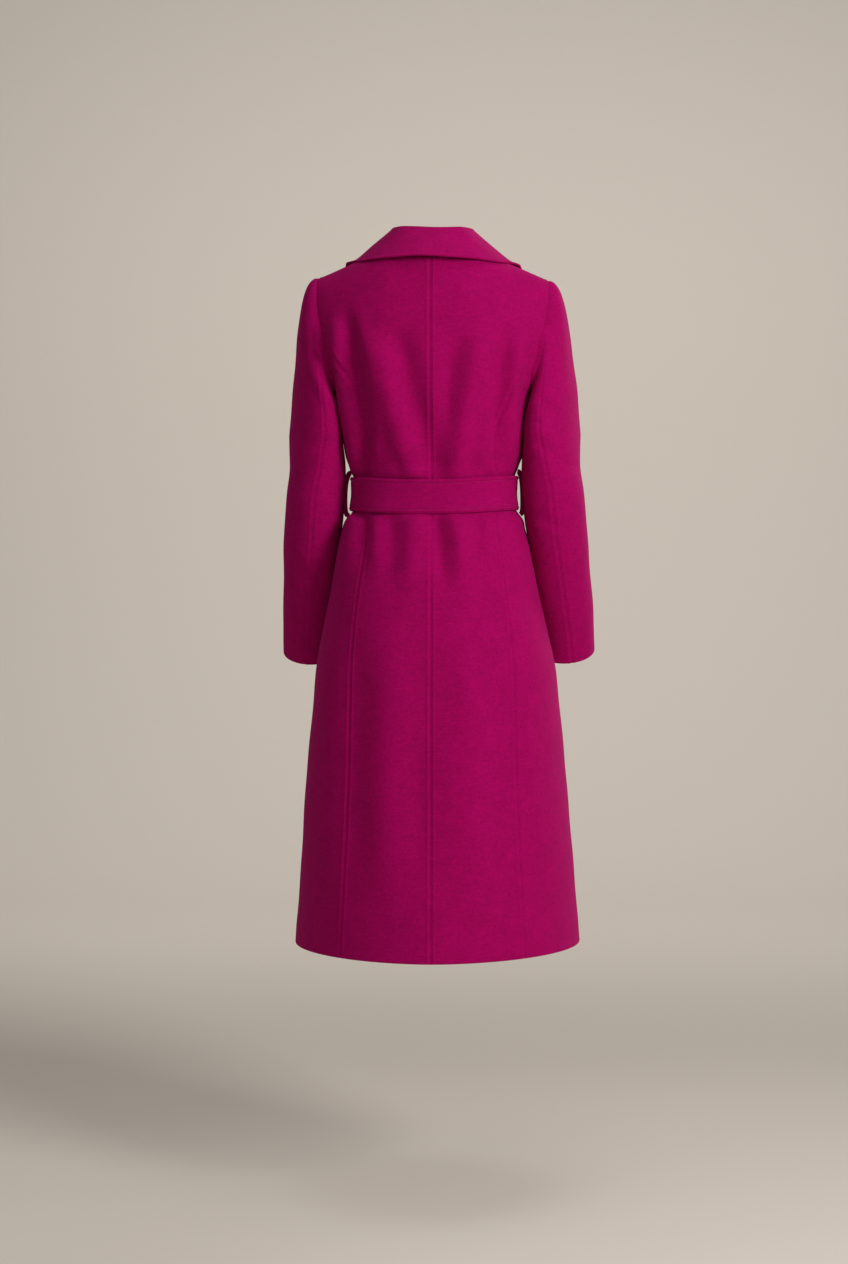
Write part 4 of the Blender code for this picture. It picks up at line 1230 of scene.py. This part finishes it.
# %% [markdown]
# ## Belt
#
# The belt is a strip folded lengthwise and stitched along both edges. It goes round the
# waist a little lower behind than at the sides, and over both fronts. Two lines of stitches
# press it flat, so its edges puff up outside them. The band is a grid bent round the waist
# and sewn to itself.

# %% Belt band
BELT_WALL, BELT_GAP, BELT_THIN = 0.0045, 0.0014, 0.0006     # thin: left off the wall inside
BRIDGE_START, BRIDGE_END = LAP + 0.004, 0.125   # x between which it bridges the lap's edge
STITCH_IN = 0.0065      # from the belt's edge to its stitches
STITCH_DIP = np.array((-1.4, -0.7, 0, 0.7, 1.4)) * 1e-3     # columns across a line of stitches
EDGE_ROLL_IN = 0.0030   # how far the belt's lower edge rolls in under it
BELT_FINISH = dict(thick=BELT_WALL - BELT_THIN, bevel=0.0014, steps=3)


def belt_lift(x, z, front):
    """How far the belt stands off the body to pass over the lapped fronts."""
    own = np.stack([-x, 0 * x, z], axis=-1)
    bridge = ease((BRIDGE_END - x) / (BRIDGE_END - BRIDGE_START))
    over = np.where(x < BRIDGE_START, lap_lift(own), lookup(LAP_LIFT, z)[..., 0] * bridge)
    return np.where(front, over, 0.0)


def belt_point(angle, part, off):
    """Places on the belt: angle from the centre back round by the left, part from its top
    edge to its bottom, off from the inside of the belt. Gives (points, normals)."""
    turn = np.asarray(angle) % (2 * math.pi)
    front = (turn > math.pi / 2) & (turn < 3 * math.pi / 2)
    x_angle = np.arcsin(np.clip(np.sin(turn), -1, 1))
    guess = np.full(turn.shape, (BELT_TOP_Z + BELT_BOTTOM_Z) / 2)
    share = np.abs(section_x(x_angle, guess)) / lookup(BODY, guess)[..., 0]
    z = BELT_TOP_Z + (BELT_BOTTOM_Z - BELT_TOP_Z) * part - BELT_DIP * (1 - share ** 2)
    width, back, fore, oval = np.moveaxis(lookup(BODY, z), -1, 0)
    depth = np.where(front, -fore, back)
    x = section_x(x_angle, z)
    y = depth * np.abs(np.cos(turn)) ** (2 / oval)
    normal = unit(np.stack([bent(x / width, oval - 1) / width,
                            bent(y / np.abs(depth), oval - 1) / np.abs(depth), 0 * x], axis=-1))
    reach = BELT_GAP + belt_lift(x, z, front) + off
    return np.stack([x, y, z], axis=-1) + reach[..., None] * normal, normal


def belt_wave(turns, part):
    """How the belt waves along its length."""
    return waves(turns, part, (0.0005, 7, 4, 0), (0.0004, 13, -2, 1))


belt_height = BELT_TOP_Z - BELT_BOTTOM_Z
parts = np.unique(np.concatenate([np.linspace(0, 1, 15), (0.03, 0.90, 0.95, 0.975)] + [
    (at + STITCH_DIP) / belt_height for at in (STITCH_IN, belt_height - STITCH_IN)]))
turns = np.linspace(0, 2 * math.pi, 257)
grid_turns, grid_parts = np.meshgrid(turns, parts)
in_from_edge = np.minimum(grid_parts, 1 - grid_parts) * belt_height
groove = -0.0009 * hump(in_from_edge - STITCH_IN, 0.0012)
groove = groove + 0.0007 * hump(in_from_edge - 0.0038, 0.0018)
under = EDGE_ROLL_IN * np.maximum(0, 1 - (1 - grid_parts) * belt_height / 0.0085) ** 2
over = 0.4 * EDGE_ROLL_IN * np.maximum(0, 1 - grid_parts * belt_height / 0.0040) ** 2
off = BELT_WALL + groove + belt_wave(grid_turns, grid_parts) - under - over
band = belt_point(grid_turns, grid_parts, off)[0]
band[:, -1] = band[:, 0]
belt = lay("belt_wrap", band, away_from_axis, "belt", BELT_WOOL, sew=True, **BELT_FINISH)
print("belt", round(AREAS["belt_wrap"], 4), "m2")

# %% [markdown]
# ## Knot and ends of the belt
#
# The belt is tied in front. Seen from outside, the knot is one turn of the belt pulled tight
# over the crossing, and the two ends leave under it and hang down the skirt. The knot is a
# grid swelled over its crossing, with creases that run into its middle, and the ends are
# strips that widen from the knot to the belt's full width.

# %% Knot
KNOT_WIDTH, KNOT_HEIGHT, KNOT_DEPTH, KNOT_EDGE = 0.078, 0.060, 0.027, 0.004
KNOT_WRAP, KNOT_SLANT = 0.42, 0.24
KNOT_Z = (BELT_TOP_Z + BELT_BOTTOM_Z) / 2 - BELT_DIP


def over_belt(x, z):
    """Places on the belt's outside in front."""
    angle = math.pi - section_angle(x, z)
    top = BELT_TOP_Z - BELT_DIP * (1 - (np.abs(x) / lookup(BODY, z)[..., 0]) ** 2)
    return belt_point(angle, (top - z) / belt_height, np.full(x.shape, BELT_WALL))[0]


u, v = np.meshgrid(np.linspace(-1, 1, 61), np.linspace(-1, 1, 61))
knot_x = KNOT_WIDTH / 2 * u * (1 - 0.12 * v * v)
knot_z = KNOT_Z - KNOT_HEIGHT / 2 * v * (1 - 0.16 * u * u)
swell = np.sqrt(np.maximum(0, (1 - u ** 4) * (1 - v ** 4)))
turn_over = ease((KNOT_WRAP + 0.06 - np.abs(u - KNOT_SLANT * v)) / 0.09)
swell = swell * (0.54 + 0.46 * turn_over)
pleats = 0.0011 * np.sin(9 * v + 3 * u) * (1 - turn_over) * swell
pleats = pleats + 0.0009 * np.sin(11 * (u - KNOT_SLANT * v) + 0.5) * turn_over * swell
knot_points = over_belt(knot_x, knot_z)
knot_points[..., 1] -= KNOT_EDGE * ease((1 - np.maximum(np.abs(u), np.abs(v))) / 0.05) - 0.0004
knot_points[..., 1] -= (KNOT_DEPTH - KNOT_EDGE) * swell + pleats
knot = lay("belt_tie_knot", knot_points, forwards, "belt", BELT_WOOL, thick=0.002, bevel=0)
print("knot", round(AREAS["belt_tie_knot"] * 1e4), "cm2")

# %% Ends of the belt
ENDS = (
    # name, length, x at the knot, x at the foot
    ("left", 0.46, 0.018, 0.052),
    ("right", 0.42, -0.018, -0.047),
)
END_STANDOFF, END_NECK = 0.003, 0.030


def belt_end(name, length, top_x, foot_x):
    """A strip from under the knot down the skirt, its outside first."""
    top = KNOT_Z - KNOT_HEIGHT / 2 - 0.004
    down = np.concatenate([np.linspace(0, 0.985, 96), [0.99, 0.995, 1.0]])
    lines = STITCH_IN / belt_height - 0.5
    across = np.unique(np.concatenate([np.linspace(-0.5, 0.5, 13)] + [
        s * lines + STITCH_DIP / belt_height for s in (1, -1)]))
    middle = top_x + (foot_x - top_x) * np.sin(down * math.pi / 2)
    breadth = END_NECK + (belt_height - END_NECK) * ease(down / 0.22)
    x = middle[:, None] + breadth[:, None] * across
    z = (top - length * down)[:, None] + 0 * across
    in_from_edge = (0.5 - np.abs(across))[None] * belt_height
    from_foot = (1 - down)[:, None] * length
    inner = np.minimum(in_from_edge, np.maximum(from_foot, 0))
    groove = -0.0006 * hump(inner - STITCH_IN, 0.0011)
    ripple = 0.0012 * np.sin(math.pi * across / 0.5)[None] * (1 - ease(down / 0.3))[:, None]
    ripple = ripple + 0.0006 * np.sin(9 * down + top_x * 40)[:, None] * ease(down / 0.2)[:, None]
    own = front_place(-x, z, True, END_STANDOFF + BELT_WALL + groove + ripple)
    return lay("belt_tail_" + name, mirrored(own), forwards, "belt", BELT_WOOL, hips=True,
               **BELT_FINISH)


tails = {name: belt_end(name, *row) for name, *row in ENDS}
print("ends", [round(AREAS["belt_tail_" + name], 4) for name in tails], "m2")

# %% [markdown]
# ## Belt loops
#
# At each side seam a narrow strip holds the belt. It is longer than the belt is wide, so it
# bows out from the coat and sags, and light shows between it and the belt. It is a short
# round-edged strip swept along a curve from above the belt to below it.

# %% Belt loops
LOOP_WIDTH, LOOP_WALL, LOOP_FOOT_X = 0.0080, 0.0080, 0.1311
LOOP_PATH = mm(
    # how far out from LOOP_FOOT_X, z
    (3.4, -360.2), (6.2, -361), (8.4, -364.5), (11, -372.5), (12.7, -383), (13.6, -394),
    (13.9, -405), (13.8, -413), (13.2, -421), (11.2, -427.2), (8, -429.4),
)
LOOP_SLACK = {"left": 1.0, "right": 0.84}


def belt_loop(side, slack):
    """A strip swept down the side of the coat."""
    path = smoother(LOOP_PATH, 6)
    share = np.clip(path[:, 0] / path[:, 0].max(), 0, 1) ** 1.5
    reach = path[:, 0] * (1 - share * (1 - slack))
    line = np.stack([LOOP_FOOT_X + reach, 0 * reach, path[:, 1]], axis=1)
    along = unit(np.gradient(line, axis=0))
    normal = np.stack([-along[:, 2], 0 * reach, along[:, 0]], axis=1)
    round_it = np.linspace(0, 2 * math.pi, 21)
    across = bent(np.cos(round_it), 0.6) * LOOP_WALL / 2
    along_y = bent(np.sin(round_it), 0.8) * LOOP_WIDTH / 2
    points = line[:, None] + across[None, :, None] * normal[:, None]
    points[..., 1] += along_y
    points[:, -1] = points[:, 0]
    print(side, "loop stands", round(reach.max() * 1000, 1), "mm out")
    return lay("belt_carrier_" + side, mirrored(points, side == "right"), lambda p: (0, 1, 0),
               "belt", BELT_WOOL, thick=0, bevel=0, sew=True)


carriers = {side: belt_loop(side, slack) for side, slack in LOOP_SLACK.items()}

# %% [markdown]
# ## Stitches
#
# The belt is topstitched with a thicker thread, about 3 mm a stitch. Each stitch is a tiny
# ball stretched along its line, so that it dips into the cloth at both ends. All of them lie
# in one mesh.

# %% Topstitching
STITCH, STITCH_GAP, THREAD_R, LINE_SAMPLES = 0.0030, 0.0010, 0.00028, 400


def add_stitch(mesh, start, end, normal):
    """One stitch between two points of the cloth, lying on it."""
    start, end, normal = Vector(start), Vector(end), Vector(normal)
    along = (end - start).normalized()
    side = normal.cross(along).normalized()
    made = bmesh.ops.create_uvsphere(mesh, u_segments=6, v_segments=5, radius=1.0)
    frame_of = Matrix((side * THREAD_R, normal * THREAD_R * 0.8,
                       along * (end - start).length / 2)).transposed().to_4x4()
    bmesh.ops.transform(mesh, matrix=Matrix.Translation((start + end) / 2) @ frame_of,
                        verts=made["verts"])


def stitch_line(mesh, points, normals):
    """Stitches along a line of points."""
    run = run_along(points)
    count = int(run[-1] // (STITCH + STITCH_GAP))
    for k in range(count):
        at = (k + np.array((0.12, 0.88))) * run[-1] / count
        add_stitch(mesh, *between(at, run, points), between(at.mean(), run, normals))
    return count


stitches = bmesh.new()
count = 0
for part in (STITCH_IN / belt_height, 1 - STITCH_IN / belt_height):
    turns = np.linspace(0, 2 * math.pi, LINE_SAMPLES)
    off = BELT_WALL - BELT_THIN + belt_wave(turns, part)
    count += stitch_line(stitches, *belt_point(turns, np.full(LINE_SAMPLES, part), off))
belt_stitches = as_object("belt_stitches", stitches, THREAD)
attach(belt_stitches, "root")
print(count, "stitches")

# %% [markdown]
# ## What stands for what
#
# The solid of each panel, of the collar and of the belt with its knot, ends and loops is hidden,
# so that only the sheets show. Each sheet stands for the solid of the same panel, which goes on
# carrying collision. The table lists the size each panel was cut to.

# %% Sheets and the solids they stand for
CUTS = (
    # panel, widths of the left and the right one, length, share of that rectangle
    ("back_centre", (0.20, 0.20), 1.19, 0.66),
    ("back_side", (0.19, 0.19), 1.06, 0.66),
    ("front", (0.42, 0.43), 1.20, 0.70),
    ("top_sleeve", (0.21, 0.21), 0.68, 0.80),
    ("under_sleeve", (0.13, 0.13), 0.60, 0.80),
)
for part, widths, length, share in CUTS:
    for width, (_, word) in zip(widths, SIDES):
        name = part + "_" + word
        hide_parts(name)
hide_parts("collar")
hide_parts("belt_band")
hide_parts("belt_knot")
for name, length, *_ in ENDS:
    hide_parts("belt_end_" + name)
    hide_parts("belt_loop_" + name)
for name, area in AREAS.items():
    print(name, round(area, 4))
